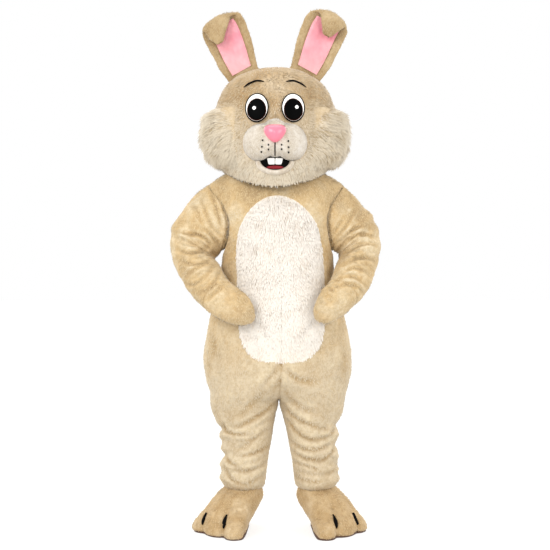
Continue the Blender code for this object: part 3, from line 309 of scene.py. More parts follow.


# %% [markdown]
# The suit is short honey-coloured polyester plush, the head a slightly greyer one. Cheeks and belly are long
# pile: cream and off-white, with painted shade at the roots of the locks.

# %% The finishes
LEGS_PALER = ("#c8baa2", 0.95, 0.62, 0.75)
# The head is paler from the eyes down to the chin: painted light on the lower face, which turns down from the
# lamps.
FACE_PAINTED_LIGHT = ("#d6cab5", 1.74, 1.47, 1.0)
PLUSH = pile("honey_plush_knitted_pile", "#b19974", "#c9ae82", "#d8c9ab", below=LEGS_PALER)
FOOT_PLUSH = pile("golden_plush_knitted_pile", "#a88d66", "#bca178", "#d2bd9b", patch_mm=40)
MUZZLE_PLUSH = pile("cream_plush_knitted_pile", "#c1b6a4", "#d2c9bb", "#dfd9d1", patch_mm=40)
HEAD_PLUSH = pile("fawn_plush_knitted_pile", "#aa8e67", "#bca481", "#cdbca1", patch_mm=70, below=FACE_PAINTED_LIGHT)


# %% [markdown]
# The ears are lined with woven satin. The face's plates are vinyl, enamel and felt.

# %% Long pile, satin and the hard finishes


def fur(name, root, body, tip, streak, below=None):
    """Pile made of locks: painted shade at the roots between them, pale tips, each lock with a shade of its
    own.
    """
    made, tree, shader = finish(name, body, 0.8, Sheen_Weight=0.25, Sheen_Roughness=0.5)
    shader.inputs["Specular IOR Level"].default_value = 0.2
    along = node(tree, "ShaderNodeAttribute", attribute_name="along").outputs["Fac"]
    shade = node(tree, "ShaderNodeAttribute", attribute_name="shade").outputs["Fac"]
    colour = ramp(tree, along, (0.0, root), (0.35, body), (1.0, tip)).outputs["Color"]
    if below:
        place = node(tree, "ShaderNodeTexCoord").outputs["Object"]
        colour = paler_below(tree, place, colour, *below)
    tint = ramp(tree, shade, (0.0, streak), (0.55, "#ffffff")).outputs["Color"]
    tree.links.new(mix(tree, 1.0, colour, tint, "MULTIPLY"), shader.inputs["Base Color"])
    return made


def satin(name, deep, middle, pale, below):
    """Woven satin, with painted shade in soft blotches for its folds and a painted sheen that makes it paler
    below.
    """
    made, tree, shader = finish(name, middle, 0.42, Sheen_Weight=0.3)
    place = node(tree, "ShaderNodeTexCoord").outputs["Object"]
    soft = node(tree, "ShaderNodeTexNoise", [(place, "Vector")], Scale=16.0, Detail=2.0)
    colour = ramp(tree, soft.outputs["Fac"], (0.35, deep), (0.65, pale)).outputs["Color"]
    tree.links.new(paler_below(tree, place, colour, *below), shader.inputs["Base Color"])
    return made


CHEEK_FUR = fur("cream_long_fur", "#c2af91", "#cfc0a8", "#d9cdb7", "#ddd2bf")
BELLY_FUR = fur("off_white_long_fur", "#e5ddd1", "#e4dcd1", "#e6dfd6", "#e8e1d9")
BELLY_UNDER = pile("off_white_underfur", "#e4d7c2", "#eadfcd", "#f0e7d8", patch_mm=30)
HEAD_FUR = fur("fawn_short_fur", "#ae9774", "#baa482", "#c7b59a", "#d6cbb9", FACE_PAINTED_LIGHT)
MUZZLE_FUR = fur("cream_short_fur", "#c9bfad", "#d4ccbf", "#dfd9d2", "#ede7dd")
SUIT_FUR = fur("honey_short_fur", "#c1a77c", "#c8af84", "#d5c5a5", "#ece3d3", LEGS_PALER)
FOOT_FUR = fur("golden_short_fur", "#b7996f", "#c1a57b", "#d2be9c", "#f1e8da")
# The ears' plush and pile are the head's made darker: painted shade on the ears.
EAR_SHADED_PLUSH = pile("fawn_plush_painted_shade", "#9c8460", "#af9873", "#c2ad89", patch_mm=45)
EAR_SHADED_FUR = fur("fawn_short_fur_painted_shade", "#a18864", "#b19a75", "#c4af8d", "#e6dac6")
CHEEK_UNDER = pile("cream_grey_underfur", "#bfaa89", "#cbb899", "#d6c6aa", patch_mm=25)
# The lining is paler towards its bottom: a painted sheen.
LINING_PAINTED_SHEEN = ("#e6b1ae", 2.03, 1.85, 0.65)
SATIN = satin("pink_satin_weave", "#d8808d", "#e08f9a", "#e197a0", LINING_PAINTED_SHEEN)
NOSE_VINYL = finish("pink_vinyl_moulded", "#e2768a", 0.3, Coat_Weight=0.35, Coat_Roughness=0.1)[0]
EYE_WHITE = finish("white_enamel_painted", "#f4f2ee", 0.2, Coat_Weight=0.4)[0]
EYE_BLACK = finish("black_enamel_painted", "#020202", 0.5, Specular_IOR_Level=0.03)[0]
IRIS_BROWN = finish("brown_enamel_painted", "#4a2010", 0.6, Specular_IOR_Level=0.05)[0]
BLACK_FELT = finish("black_felt_pressed", "#080707", 0.95, Specular_IOR_Level=0.1)[0]
RED_FELT = finish("red_felt_pressed", "#7d0f1c", 0.85)[0]
SOLE_BROWN = finish("brown_rubber_sheet", "#4f3322", 0.7)[0]
print(len(bpy.data.materials), "finishes")

# %% [markdown]
# ## The form of the suit
# A suit is cut as four panels, front and back, left and right. One form carries all four: across each height
# it is an oval, and below the crotch it parts into two. The tables give the oval's edges and depths.

# %% Form of trunk and legs
SUIT = table("""
height/mm outer_right/mm inner_right/mm inner_left/mm outer_left/mm front/mm back/mm cleft
1500 -100    0    0 100  92 100    0
1487 -150    0    0 150 102 112    0
1472 -197    2    2 197 110 122    0
1457 -224    3    3 226 115 127    0
1440 -250    4    4 254 120 132    0
1410 -282    6    6 290 132 144    0
1323 -243   12   12 258 166 172    0
1240 -221   15   15 243 182 182    0
1160 -218   18   18 244 190 176    0
1100 -223   20   20 245 192 168    0
1000 -232   24   24 252 197 168    0
900 -264   26   26 284 205 186    0
800 -284   27   27 305 210 208    0
710 -298   26   26 319 205 218 0.03
660 -295   25   25 320 196 210 0.18
610 -287   22   22 312 180 195  0.5
560 -271   19   19 300 160 170 0.84
522 -270 16.6 16.6 291 142 148    1
484 -263    9   24 286 130 134    1
435 -244    0   36 268 118 122    1
385 -230   -8   48 262 110 113    1
335 -223  -16   58 261 105 108    1
285 -222  -25   68 262 103 106    1
235 -226  -33   72 263 103 107    1
195 -226  -37   78 266 104 108    1
178 -220  -41   82 260  99 103    1
165 -207  -53   94 247  85  90    1
""")
TRUNK_ROWS = (
    *(1.500, 1.487, 1.472, 1.445, 1.410, 1.323, 1.240, 1.160, 1.100, 1.040, 0.980, 0.920, 0.860, 0.800),
    *(0.743, 0.700, 0.660, 0.620, 0.585, 0.558, 0.538, 0.522),
)
CROTCH = 0.522
HEM = 0.165
QUARTER = (0.0, 0.142, 0.284, 0.426, 0.578, 0.730, 0.865, 1.0)
GROWN = 1.15
OVAL_FADE = 0.75
BELLY = {
    "around": 0.0,
    "half_around": 0.426,
    "height": 1.033,
    "half_height": 0.290,
    "half_width": 0.1746,
    "top_taper": 0.32,
    "low_taper": 0.13,
    "square": 4,
}
ARMHOLE = {"around": 1.0, "half_around": 0.270, "height": 1.285, "half_height": 0.125}
# %% [markdown]
# The legs stand in folds. A table says how high each is, which way it faces in degrees from the front, how
# far it stands out, and how much it slants.

# %% Folds of the legs
LEG_FOLDS = {
    "right": table("""
along/mm facing rise/mm width/mm reach slant/mm
446  140  -5 14  60  30
413   15 -13 13  85  16
386   30   8 14  90  16
350   80  -7 13  75  22
330   10   6 14  70  12
303   15 -12 13  90  18
268   30   8 14  95  14
238   60  -7 12  90  10
208   20   9 14 170   0
395  -90  -9 14  80 -16
340  -80   6 14  80 -14
300 -100  -9 14  85 -12
240  -90  -6 13  80   0
"""),
    "left": table("""
along/mm facing rise/mm width/mm reach slant/mm
440  130  -6 14  65  30
428   15 -10 13  80  14
392   30   9 14  90  18
362   90  -8 13  85  22
343   10  -8 13  60  10
308   40   8 14  90  16
276   70  -9 13  90  16
246   20   7 13  80  12
228   80  -6 12  80   8
204   20   8 14 170   0
400  -80  -9 14  80 -16
350  -90   6 14  80 -14
305  -80  -9 14  85 -12
245 -100  -6 13  80   0
"""),
}
SUIT_AT = {name: reader(SUIT, "height", name) for name in SUIT[0]}


# %% [markdown]
# The belly and the armholes are ovals in the panels, and the suit's grid is shifted to follow their edges.

# %% Points of the suit


def oval_place(around, height, oval):
    """Place in an oval's rectangle of cells, -1 to 1 each way, and the share of its shift that it takes."""
    across = (around - oval["around"]) / oval["half_around"]
    up = (height - oval["height"]) / oval["half_height"]
    x = np.clip(across, -1, 1)
    z = np.clip(up, -1, 1)
    return x, z, eased(np.hypot(across - x, up - z) / OVAL_FADE)


def rounded(value, other):
    """Shift of one coordinate of a square that rounds it into a grown disc."""
    return value * (np.sqrt(1 - other * other / 2) * GROWN - 1)


def fold_rise(folds, along, facing):
    """How far the cloth stands out at a place; facing is in degrees."""
    rise = 0.0
    for fold in folds:
        turn = (facing - fold["facing"] + 180) % 360 - 180
        off = (along - fold["along"] - fold["slant"] * np.radians(turn)) / fold["width"]
        near = np.abs(turn) < fold["reach"]
        rise = rise + near * fold["rise"] * np.exp(-off * off) * np.cos(np.pi / 2 * turn / fold["reach"]) ** 2
    return rise


def suit_point(side, height, around):
    """Points of the suit. around runs from 0 at the centre front by 1 at the outer side to 2 at the back."""
    sign = SIDES[side]
    x, z, share = oval_place(around, height, BELLY)
    hole_x, hole_z, hole_share = oval_place(around, height, ARMHOLE)
    corner = np.where(z > 0, x, x * x)
    height = height + rounded(z, corner) * BELLY["half_height"] * share
    height = height + rounded(hole_z, hole_x) * ARMHOLE["half_height"] * hole_share
    outer = sign * SUIT_AT[f"outer_{side}"](height)
    own, shared = SUIT_AT[f"inner_{side}"](height), SUIT_AT["inner_left"](height)
    inner = sign * np.where(height < CROTCH, own, shared)
    cleft = SUIT_AT["cleft"](height)
    centre = inner + cleft / 2 * (outer - inner)
    half = outer - centre
    start = np.arccos(np.maximum(-(centre - inner) / half, -1.0))
    taper = np.where(z > 0, BELLY["top_taper"], BELLY["low_taper"])
    reach = x * np.sqrt(1 - taper * z**BELLY["square"]) * BELLY["half_width"]
    belly_around = 1 - np.arccos(np.clip((reach + inner - centre) / half, -1, 1)) / start
    around = around + (belly_around - x * BELLY["half_around"]) * share
    around = around + rounded(hole_x, hole_z) * ARMHOLE["half_around"] * hole_share
    behind = around > 1
    turn = start * np.abs(around - 1)
    depth = np.where(behind, SUIT_AT["back"](height), -SUIT_AT["front"](height))
    facing = np.degrees(turn) * np.where(behind, -1, 1)
    rise = fold_rise(LEG_FOLDS[side], height, facing) * (cleft >= 1)
    across = centre + (half + rise) * np.cos(turn)
    deep = (depth + rise * np.sign(depth)) * np.sin(turn)
    return np.stack([sign * across, deep, height + 0 * deep], axis=-1)


# %% [markdown]
# ## The form of the arms
# Each arm is a bent tube: the tables give its outer and inner edge as seen from the front, how far forward it
# lies and how deep it is. It leaves the armhole in the armhole's own shape and grows round along its way.

# %% Form of sleeves and mitts
ARMS = {
    "right": table("""
section outer_x/mm outer_z/mm inner_x/mm inner_z/mm y/mm half_depth/mm
0 282 1423 220 1136    0  88
1 333 1382 228 1130    5  96
2 379 1324 236 1125   10 100
3 419 1266 243 1121   15 102
4 440 1207 246 1117   12 102
5 438 1149 246 1110   -5  99
6 421 1090 240 1101  -35  94
7 389 1029 228 1088  -75  87
8 357  984 212 1064 -120  81
9 317  940 190 1031 -166  75
10 279  907 164 1009 -195  68
11 238  879 136  990 -223  60
12 193  858 108  966 -242  56
13 152  848  92  936 -250  52
14 118  852  88  908 -252  36
"""),
    "left": table("""
section outer_x/mm outer_z/mm inner_x/mm inner_z/mm y/mm half_depth/mm
0 293 1416 246 1150    0  88
1 333 1375 254 1143    5  96
2 375 1328 260 1138   10 100
3 412 1283 263 1133   15 102
4 436 1228 263 1126   12 102
5 440 1167 262 1118   -5  99
6 431 1111 258 1107  -35  94
7 413 1057 249 1091  -75  87
8 393 1011 237 1065 -113  81
9 362  965 224 1033 -150  75
10 325  927 205 1007 -182  68
11 285  894 183  988 -209  60
12 244  870 172  962 -232  56
13 211  855 167  938 -247  52
14 191  860 167  910 -250  36
"""),
}
ARM_TILT = table("""
section tilt
0  0
3  0
4  6
5 14
6 22
7 30
8 37
9 43
10 47
12 50
14 46
""")
SLEEVE_SECTIONS = 10
MITT_END = 14
MITT_TIP = 0.012
CORNERS_AROUND = 14
ARMHOLE_BLEND = 2.5
ARMHOLE_STEPS = 300
SECTION_REACH = 0.3
ARM_FOLDS = {
    "right": table("""
along facing rise/mm width reach slant
1.2 100  -9 0.45  95 -0.25
2  60   6  0.4 100   0.2
2.7  80 -10 0.38 105  0.25
3.4  50   8 0.38 110   0.1
4.1  60 -11 0.36 115   0.2
5.2  50  -7 0.36 110  -0.1
6.1  70  -8 0.36 110 -0.15
7  60  -9 0.36 110 -0.15
8.1  70  -8 0.36 100  -0.2
9.2  50  -7 0.34  90  -0.1
2.4 -90  -9 0.42  85   0.2
4.2 -80 -10  0.4  90   0.1
5.6 -90  -7  0.4  85   0.1
7.4 -80  -8  0.4  85  0.15
"""),
    "left": table("""
along facing rise/mm width reach slant
1.1  90  -8 0.45  90   0.2
2.1  60 -10  0.4 105   0.2
2.8  50   7 0.38 100  0.15
3.5  70 -11 0.36 115   0.2
4.5  60  -9 0.36 110   0.1
5.6  60  -9 0.36 110  -0.1
6.6  80  -8 0.36 100 -0.15
7.6  50  -6 0.36  90 -0.15
8.8  80  -7 0.36  90  -0.2
2.3 -80  -9 0.42  85   0.2
3.9 -90 -10  0.4  90   0.1
5.4 -80  -7  0.4  85   0.1
7.1 -90  -8  0.4  85  0.15
"""),
}
ARM_AT = {side: {name: reader(rows, "section", name) for name in rows[0]} for side, rows in ARMS.items()}
TILT_AT = reader(ARM_TILT, "section", "tilt")


# %% [markdown]
# A section of the arm is an oval across its way. The sleeve's first sections blend over from the armhole.

# %% Sections of the arms


def arm_edges(side, section):
    """Outer and inner edge of a section of the arm as seen from the front, and half its depth."""
    value = {name: float(read(section)) for name, read in ARM_AT[side].items()}
    sign = SIDES[side]
    outer = Vector((sign * value["outer_x"], value["y"], value["outer_z"]))
    inner = Vector((sign * value["inner_x"], value["y"], value["inner_z"]))
    return outer, inner, value["half_depth"]


def arm_frame(side, section):
    """Centre of a section of the arm, then its half width, its half depth and its way down as vectors."""
    outer, inner, half_depth = arm_edges(side, section)
    before = sum(arm_edges(side, section - SECTION_REACH)[:2], Vector()) / 2
    after = sum(arm_edges(side, section + SECTION_REACH)[:2], Vector()) / 2
    across = (outer - inner) / 2
    down = across.cross(Vector((0, 1, 0))).normalized()
    if down.dot(after - before) < 0:
        down.negate()
    tilt = math.radians(float(TILT_AT(section)))
    front = -Vector((0, 1, 0)) * math.cos(tilt) - down * math.sin(tilt)
    along = down * math.cos(tilt) - Vector((0, 1, 0)) * math.sin(tilt)
    return [np.array(v) for v in ((outer + inner) / 2, across, front * half_depth, along)]


def armhole_corners():
    """The armhole's corners as (around, height), from the shoulder round by the front and up the back."""
    top, upper, lower, bottom = TRUNK_ROWS[4:8]
    ahead, beside = QUARTER[5:7]
    behind, past = 2 - ahead, 2 - beside
    places = [(1.0, top), (beside, top), (ahead, top), (ahead, upper), (ahead, lower), (ahead, bottom)]
    places += [(beside, bottom), (1.0, bottom), (past, bottom)]
    return places + [(behind, bottom), (behind, lower), (behind, upper), (behind, top), (past, top)]


def armhole_ring(side, turns):
    """Points of the armhole at places from 0 to 14, whole numbers at its corners."""
    corners = np.array(armhole_corners() + armhole_corners()[:1])
    around, height = (np.interp(turns, range(CORNERS_AROUND + 1), column) for column in corners.T)
    return suit_point(side, height, around)


def armhole_line(side):
    """The whole armhole seam as a fine line."""
    return armhole_ring(side, np.linspace(0, CORNERS_AROUND, ARMHOLE_STEPS))


def arm_ring(side, section, turns):
    """One ring of the arm at places from 0 to 14 round it, from its outer edge by the front."""
    centre, across, front, _ = arm_frame(side, section)
    angle = 2 * np.pi * turns / CORNERS_AROUND
    rise = fold_rise(ARM_FOLDS[side], section, np.degrees(angle)) if section < SLEEVE_SECTIONS else 0 * angle
    out = np.outer(np.cos(angle), across) + np.outer(np.sin(angle), front)
    length = np.linalg.norm(out, axis=1)
    return centre + out * (1 + rise / length)[:, None]


def sleeve_ring(side, section, turns):
    """Ring of the sleeve, which leaves the armhole in the armhole's own shape."""
    hole = armhole_ring(side, turns)
    if section == 0:
        return hole
    start, *start_axes = arm_frame(side, 0)
    centre, *axes = arm_frame(side, section)
    kept = float(eased(section / ARMHOLE_BLEND))
    moved = centre + sum(
        np.outer((hole - start) @ old / old.dot(old), new) for old, new in zip(start_axes, axes)
    )
    return moved * kept + arm_ring(side, section, turns) * (1 - kept)


# %% [markdown]
# ## From a form to cloth
# A skin is a fine grid of points on a form. It is held as arrays, so that creases, seams and pile can be
# worked out for every point at once: the troughs go in along the skin's own normals.

# %% Skins


class Skin:
    """A fine surface: points, faces, and for each face the piece that it belongs to."""

    def __init__(self):
        self.points = np.zeros((0, 3))
        self.faces = []
        self.pieces = []

    def grid(self, points, piece_of, flip=False, closed=False):
        """Adds rows of points, with piece_of giving each cell's piece; closed joins the last column on."""
        rows, columns = points.shape[:2]
        start = len(self.points)
        self.points = np.concatenate([self.points, points.reshape(-1, 3)])
        number = start + np.arange(rows * columns).reshape(rows, columns)
        after = np.roll(number, -1, axis=1) if closed else number[:, 1:]
        here = number if closed else number[:, :-1]
        quads = np.stack([here[:-1], here[1:], after[1:], after[:-1]], axis=-1)
        for row in range(quads.shape[0]):
            for column in range(quads.shape[1]):
                piece = piece_of(row, column)
                if piece:
                    quad = quads[row, column]
                    self.faces.append(quad[::-1] if flip else quad)
                    self.pieces.append(piece)
        return number

    def settle(self):
        """Joins points that lie on each other and gives each point its normal."""
        keys = np.round(self.points * 20000).astype(np.int64)
        _, first, place = np.unique(keys, axis=0, return_index=True, return_inverse=True)
        self.points = self.points[first]
        self.faces = place.reshape(-1)[np.array(self.faces)]
        a, b, c, d = (self.points[self.faces[:, n]] for n in range(4))
        normal = np.cross(c - a, d - b)
        total = np.zeros_like(self.points)
        for n in range(4):
            np.add.at(total, self.faces[:, n], normal)
        self.normals = total / np.maximum(np.linalg.norm(total, axis=1), 1e-12)[:, None]
        self.lift = np.zeros(len(self.points))
        self.pieces = np.array(self.pieces)

    def tree(self):
        """The surface as a tree, which finds what lies nearest or what a line meets."""
        return BVHTree.FromPolygons(self.points.tolist(), self.faces.tolist())


def one_piece(rows, piece, flip=False, closed=False):
    """Settled skin of a single piece, given its rows of points."""
    skin = Skin()
    skin.grid(np.array(rows), lambda row, column: piece, flip, closed)
    skin.settle()
    return skin


def tree_of(points):
    """A tree that finds the nearest of some points."""
    tree = KDTree(len(points))
    for number, point in enumerate(points):
        tree.insert(point, number)
    tree.balance()
    return tree


def faces_of(pieces):
    """How many faces some pieces have together."""
    return sum(len(made.data.polygons) for made in pieces)


# %% [markdown]
# A piece of cloth is the faces of a skin that bear its name. Every piece rides on the costume.

# %% From a skin to pieces


def cloth(skin, piece, name, material):
    """Object of one piece of a skin, with the lift of its creases kept for the painted shade and highlight of
    its colour.
    """
    chosen = skin.faces[skin.pieces == piece]
    used, place = np.unique(chosen, return_inverse=True)
    faces = place.reshape(chosen.shape)
    return mesh_object(name, skin.points[used], faces, material, lift=skin.lift[used])


def mesh_object(name, points, faces, material, smooth=True, **attributes):
    """Object of a mesh, taken to the shared frame. A quad whose corners have joined becomes a triangle."""
    faces = np.asarray(faces).tolist()
    if faces and len(faces[0]) == 4:
        faces = [list(dict.fromkeys(face)) for face in faces]
    mesh = bpy.data.meshes.new(name)
    mesh.from_pydata(np.asarray(points).tolist(), [], faces)
    mesh.materials.append(material)
    for label, values in attributes.items():
        mesh.attributes.new(label, "FLOAT", "POINT").data.foreach_set("value", np.asarray(values, np.float32))
    if smooth:
        mesh.shade_smooth()
    made = bpy.data.objects.new(name, mesh)
    bpy.context.scene.collection.objects.link(made)
    made.location.z = -HOLD_HEIGHT
    return made


def wear(made, slot, *names):
    """The piece rides on the costume and stands for its solids, which are hidden. Its slot is not used."""
    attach(made, "root")
    if names:
        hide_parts(*names)
    return made


# %% [markdown]
# The studio's floor is white acrylic lit from beneath, as a light table is, so it shows next to no shadow.

# %% Floor
FLOOR_HALF = 40.0
FLOOR_DOWN = 0.0005
FLOOR_ACRYLIC = finish(
    "white_acrylic_cast_matt", "#9a9a98", 0.9, Emission_Color=(1, 1, 1, 1), Emission_Strength=0.69
)[0]
corners = [(x * FLOOR_HALF, y * FLOOR_HALF, -FLOOR_DOWN) for x, y in ((-1, -1), (1, -1), (1, 1), (-1, 1))]
mesh_object("floor", corners, [(0, 1, 2, 3)], FLOOR_ACRYLIC, smooth=False)

# %% [markdown]
# ## Creases and seams
# Where an elbow or a knee bends, spare cloth gathers into creases that fan from the inside of the bend. Each
# is a curve through three places as seen from the front or back, pressed in as a soft trough between two low
# ridges. Where two panels are sewn together, the thread pulls the cloth in along the whole seam.

# %% Where the creases lie
CREASES = table("""
part/word start_x/mm start_z/mm middle_x/mm middle_z/mm end_x/mm end_z/mm depth/mm width/mm
arm_right -265 1387 -240 1317 -218 1229 7 8
-305 1360 -265 1256 -225 1205 7 8
-337 1329 -309 1293 -284 1244 4 8
-285 1236 -256 1203 -225 1159 8 7
-407 1222 -305 1202 -265 1168 9 7
-400 1148 -337 1138 -279 1155 7 8
-383 1102 -317 1090 -252 1118 6 7
-360 1041 -317 1073 -265 1091 6 7
-366 1008 -309 1017 -248 1073 5 7
-305 973 -256 1000 -218 1057 6 7
-272 943 -240 972 -199 1008 4 7
-292 1138 -268 1130 -248 1138 5 6
arm_left 292 1301 264 1252 238 1212 6 8
337 1333 301 1268 248 1187 7 8
353 1252 313 1224 244 1163 8 7
402 1203 321 1203 252 1138 8 7
418 1163 345 1167 264 1118 7 7
410 1098 345 1118 272 1082 6 7
390 1037 321 1073 256 1041 6 7
370 992 305 1041 236 1017 5 7
362 960 305 1008 223 992 5 7
240 976 223 988 207 992 6 6
313 1301 297 1285 280 1260 3 8
leg_right 12 610 -61 553 -138 472 4 12
4 521 -69 468 -183 415 7 9
-215 436 -187 403 -89 399 8 8
-24 415 -85 375 -158 326 5 9
-12 350 -85 318 -150 310 6 8
-209 310 -187 281 -142 261 7 8
-28 277 -102 249 -183 253 6 8
-215 269 -183 220 -126 188 6 8
-37 228 -85 204 -126 192 4 8
-248 505 -236 464 -215 432 4 10
-146 367 -118 375 -77 391 4 8
leg_left 28 594 85 521 175 484 5 11
37 513 93 456 232 415 7 9
53 448 118 383 223 375 7 8
61 367 134 334 240 358 6 8
69 326 134 293 232 298 6 8
73 277 126 269 175 253 5 7
256 432 223 391 167 383 7 8
252 354 232 318 183 277 6 8
85 220 150 204 223 216 5 8
264 269 232 237 183 228 4 8
trunk 20 704 -12 639 -76 575 6 12
20 677 12 612 -12 556 5 12
28 687 84 631 173 615 5 12
-272 618 -268 700 -248 781 4 14
-232 667 -240 732 -264 797 3 14
280 618 288 700 276 781 4 14
-199 1301 -199 1236 -203 1163 3 10
232 1285 238 1220 241 1155 3 10
-83 866 -44 819 -12 747 3 14
163 874 131 834 99 787 3 14
""")
BACK_CREASES = table("""
part/word start_x/mm start_z/mm middle_x/mm middle_z/mm end_x/mm end_z/mm depth/mm width/mm
arm_right -395 1240 -330 1205 -255 1190 7 9
-410 1165 -345 1140 -262 1150 7 8
-385 1095 -320 1085 -255 1110 6 8
-345 1030 -300 1030 -240 1065 6 8
-345 1330 -300 1270 -250 1240 5 10
arm_left 400 1230 335 1200 270 1205 7 9
420 1150 350 1125 275 1150 7 8
400 1085 335 1070 268 1100 6 8
360 1010 310 1015 258 1050 6 8
350 1320 305 1265 262 1240 5 10
trunk -10 640 -80 690 -180 700 7 13
40 640 110 685 200 690 7 13
-180 1010 -100 985 -20 1000 5 14
200 990 120 965 40 985 5 14
-170 1300 -120 1200 -110 1100 4 14
185 1300 135 1200 125 1100 4 14
leg_right -40 520 -110 480 -200 470 6 11
-30 420 -110 395 -200 410 7 9
-200 345 -130 325 -50 335 6 9
-60 265 -130 245 -200 255 6 8
leg_left 60 510 140 475 230 465 6 11
70 410 150 385 240 405 7 9
245 335 170 315 90 330 6 9
100 255 170 240 240 250 6 8
""")
# %% [markdown]
# A crease fades out at both its ends. Beside a seam the cloth is drawn in by how near the thread is.

# %% Pressing creases and drawing in seams
CURVE_STEPS = 14
SHOULDER = 0.45
SHOULDER_OUT = 2.1
CREASE_REACH = 4
SEAM_REACH = 3
FACING_GAIN = 2.2
FACING_LEAST = 0.25
CREASE_ENDS = 0.7
OVER_SHOULDER = 1.29
OVER_SHOULDER_FADE = 0.09
OVER_SHOULDER_PULL = 0.2


def press(skin, creases, parts, facing):
    """How far creases move a skin: facing is -1 for those of the front and 1 for those of the back."""
    seen = np.clip(skin.normals[:, 1] * facing * FACING_GAIN + FACING_LEAST, 0, 1)
    total = np.zeros(len(skin.points))
    flat = skin.points[:, [0, 2]]
    for crease in creases:
        if crease["part"] not in parts:
            continue
        places = ((crease[f"{name}_x"], crease[f"{name}_z"]) for name in ("start", "middle", "end"))
        start, middle, end = (np.array(place) for place in places)
        t = np.linspace(0, 1, CURVE_STEPS)[:, None]
        middle = 2 * middle - (start + end) / 2
        curve = (1 - t) ** 2 * start + 2 * t * (1 - t) * middle + t**2 * end
        reach = crease["width"] * CREASE_REACH
        near = np.all((flat > curve.min(0) - reach) & (flat < curve.max(0) + reach), axis=1) & (seen > 0)
        chosen = np.flatnonzero(near)
        if not len(chosen):
            continue
        here = flat[chosen]
        best = np.full(len(chosen), np.inf)
        along = np.zeros(len(chosen))
        for n in range(CURVE_STEPS - 1):
            run = curve[n + 1] - curve[n]
            share = np.clip(((here - curve[n]) @ run) / run.dot(run), 0, 1)
            away = np.linalg.norm(here - curve[n] - share[:, None] * run, axis=1)
            closer = away < best
            best = np.where(closer, away, best)
            along = np.where(closer, (n + share) / (CURVE_STEPS - 1), along)
        off = best / crease["width"]
        fade = np.sin(np.pi * np.clip(along * 0.9 + 0.05, 0, 1)) ** CREASE_ENDS
        shape = -np.exp(-off * off) + SHOULDER * np.exp(-((off - SHOULDER_OUT) ** 2))
        total[chosen] += shape * fade * crease["depth"] * seen[chosen]
    return total


def seam_pull(skin, lines, depth, width):
    """How far the cloth is drawn in along seams; lines are arrays of points along them."""
    places = np.concatenate(lines)
    tree = tree_of(places)
    low, high = places.min(0) - SEAM_REACH * width, places.max(0) + SEAM_REACH * width
    pull = np.zeros(len(skin.points))
    for number in np.flatnonzero(np.all((skin.points > low) & (skin.points < high), axis=1)):
        off = tree.find(skin.points[number])[2] / width
        if off < SEAM_REACH:
            pull[number] = -depth * math.exp(-off * off)
    return pull


def shoulder_share(points):
    """Armhole seams draw in least over the shoulder, where the arm's weight pulls them flat."""
    over = eased((points[:, 2] - OVER_SHOULDER) / OVER_SHOULDER_FADE)
    return OVER_SHOULDER_PULL + (1 - OVER_SHOULDER_PULL) * over


def relief(points, size, depth, seed=0.0):
    """Soft uneven relief with swells of a size, in metres."""
    shift = Vector((seed, seed * 1.7, seed * 2.3))
    return np.array([noise.noise(Vector(point) / size + shift) for point in points.tolist()]) * depth


def raise_cloth(skin, rise, sunk=0.0, keep=0.006):
    """Moves a skin along its normals, less sunk, and keeps the move, against keep metres, as its lift."""
    skin.points = skin.points + skin.normals * (rise - sunk)[:, None]
    skin.lift = np.clip(skin.lift + rise / keep, -1, 1)


# %% [markdown]
# ## The suit
# The four panels are one skin, so creases run over the seams. The grid is finer than the pile's tufts are
# wide, about 6 mm, and the belly panel is cut out along its oval.

# %% Skin of the suit
GRID = 0.0060
GIRTH_PER_TURN = 0.42
PILE = 0.0035
LEG_ROW_COUNT = 20


def creased(skin, parts):
    """The creases of the front and of the back together."""
    return press(skin, CREASES, parts, -1) + press(skin, BACK_CREASES, parts, 1)


def belly_cell(height, around):
    return TRUNK_ROWS[14] < height < TRUNK_ROWS[5] and around < QUARTER[3]


def armhole_cell(height, around):
    return TRUNK_ROWS[7] < height < TRUNK_ROWS[4] and QUARTER[5] < around < 2 - QUARTER[5]


def make_suit_skin():
    """The suit's four panels and the belly, open at the armholes."""
    skin = Skin()
    leg_step = (CROTCH - HEM) / LEG_ROW_COUNT
    rows = list(TRUNK_ROWS) + [CROTCH - leg_step * (row + 1) for row in range(LEG_ROW_COUNT)]
    heights = np.array(split(rows, GRID))
    quarter = split(QUARTER, GRID / GIRTH_PER_TURN)
    around = np.array(quarter + [2 - place for place in quarter[-2::-1]])
    mid_height = (heights[1:] + heights[:-1]) / 2
    mid_around = (around[1:] + around[:-1]) / 2
    for side, sign in SIDES.items():
        height, place = np.meshgrid(heights, around, indexing="ij")

        def piece_of(row, column, side=side):
            at = mid_height[row], mid_around[column]
            if armhole_cell(*at):
                return None
            if belly_cell(*at):
                return f"belly_{side}"
            return f"suit_front_{side}" if mid_around[column] < 1 else f"suit_back_{side}"

        skin.grid(suit_point(side, height, place), piece_of, flip=sign < 0)
    skin.settle()
    return skin


suit = make_suit_skin()
print(len(suit.points), "points in the suit")

# %% [markdown]
# The armhole seams draw in most, the side seams and the seams down the middle only a little. Then come the
# creases and a slow uneven swell, since no plush suit hangs quite smooth.

# %% Creases of the suit
COLLAR = 1.5
FRONT_SEAM_TOP = 0.745
BELLY_SEAM = (0.705, 1.30)


def upright_seam(side, low, high, steps, around):
    """Points of a seam that runs up the suit at one place around it."""
    return suit_point(side, np.linspace(low, high, steps), np.full(steps, around))


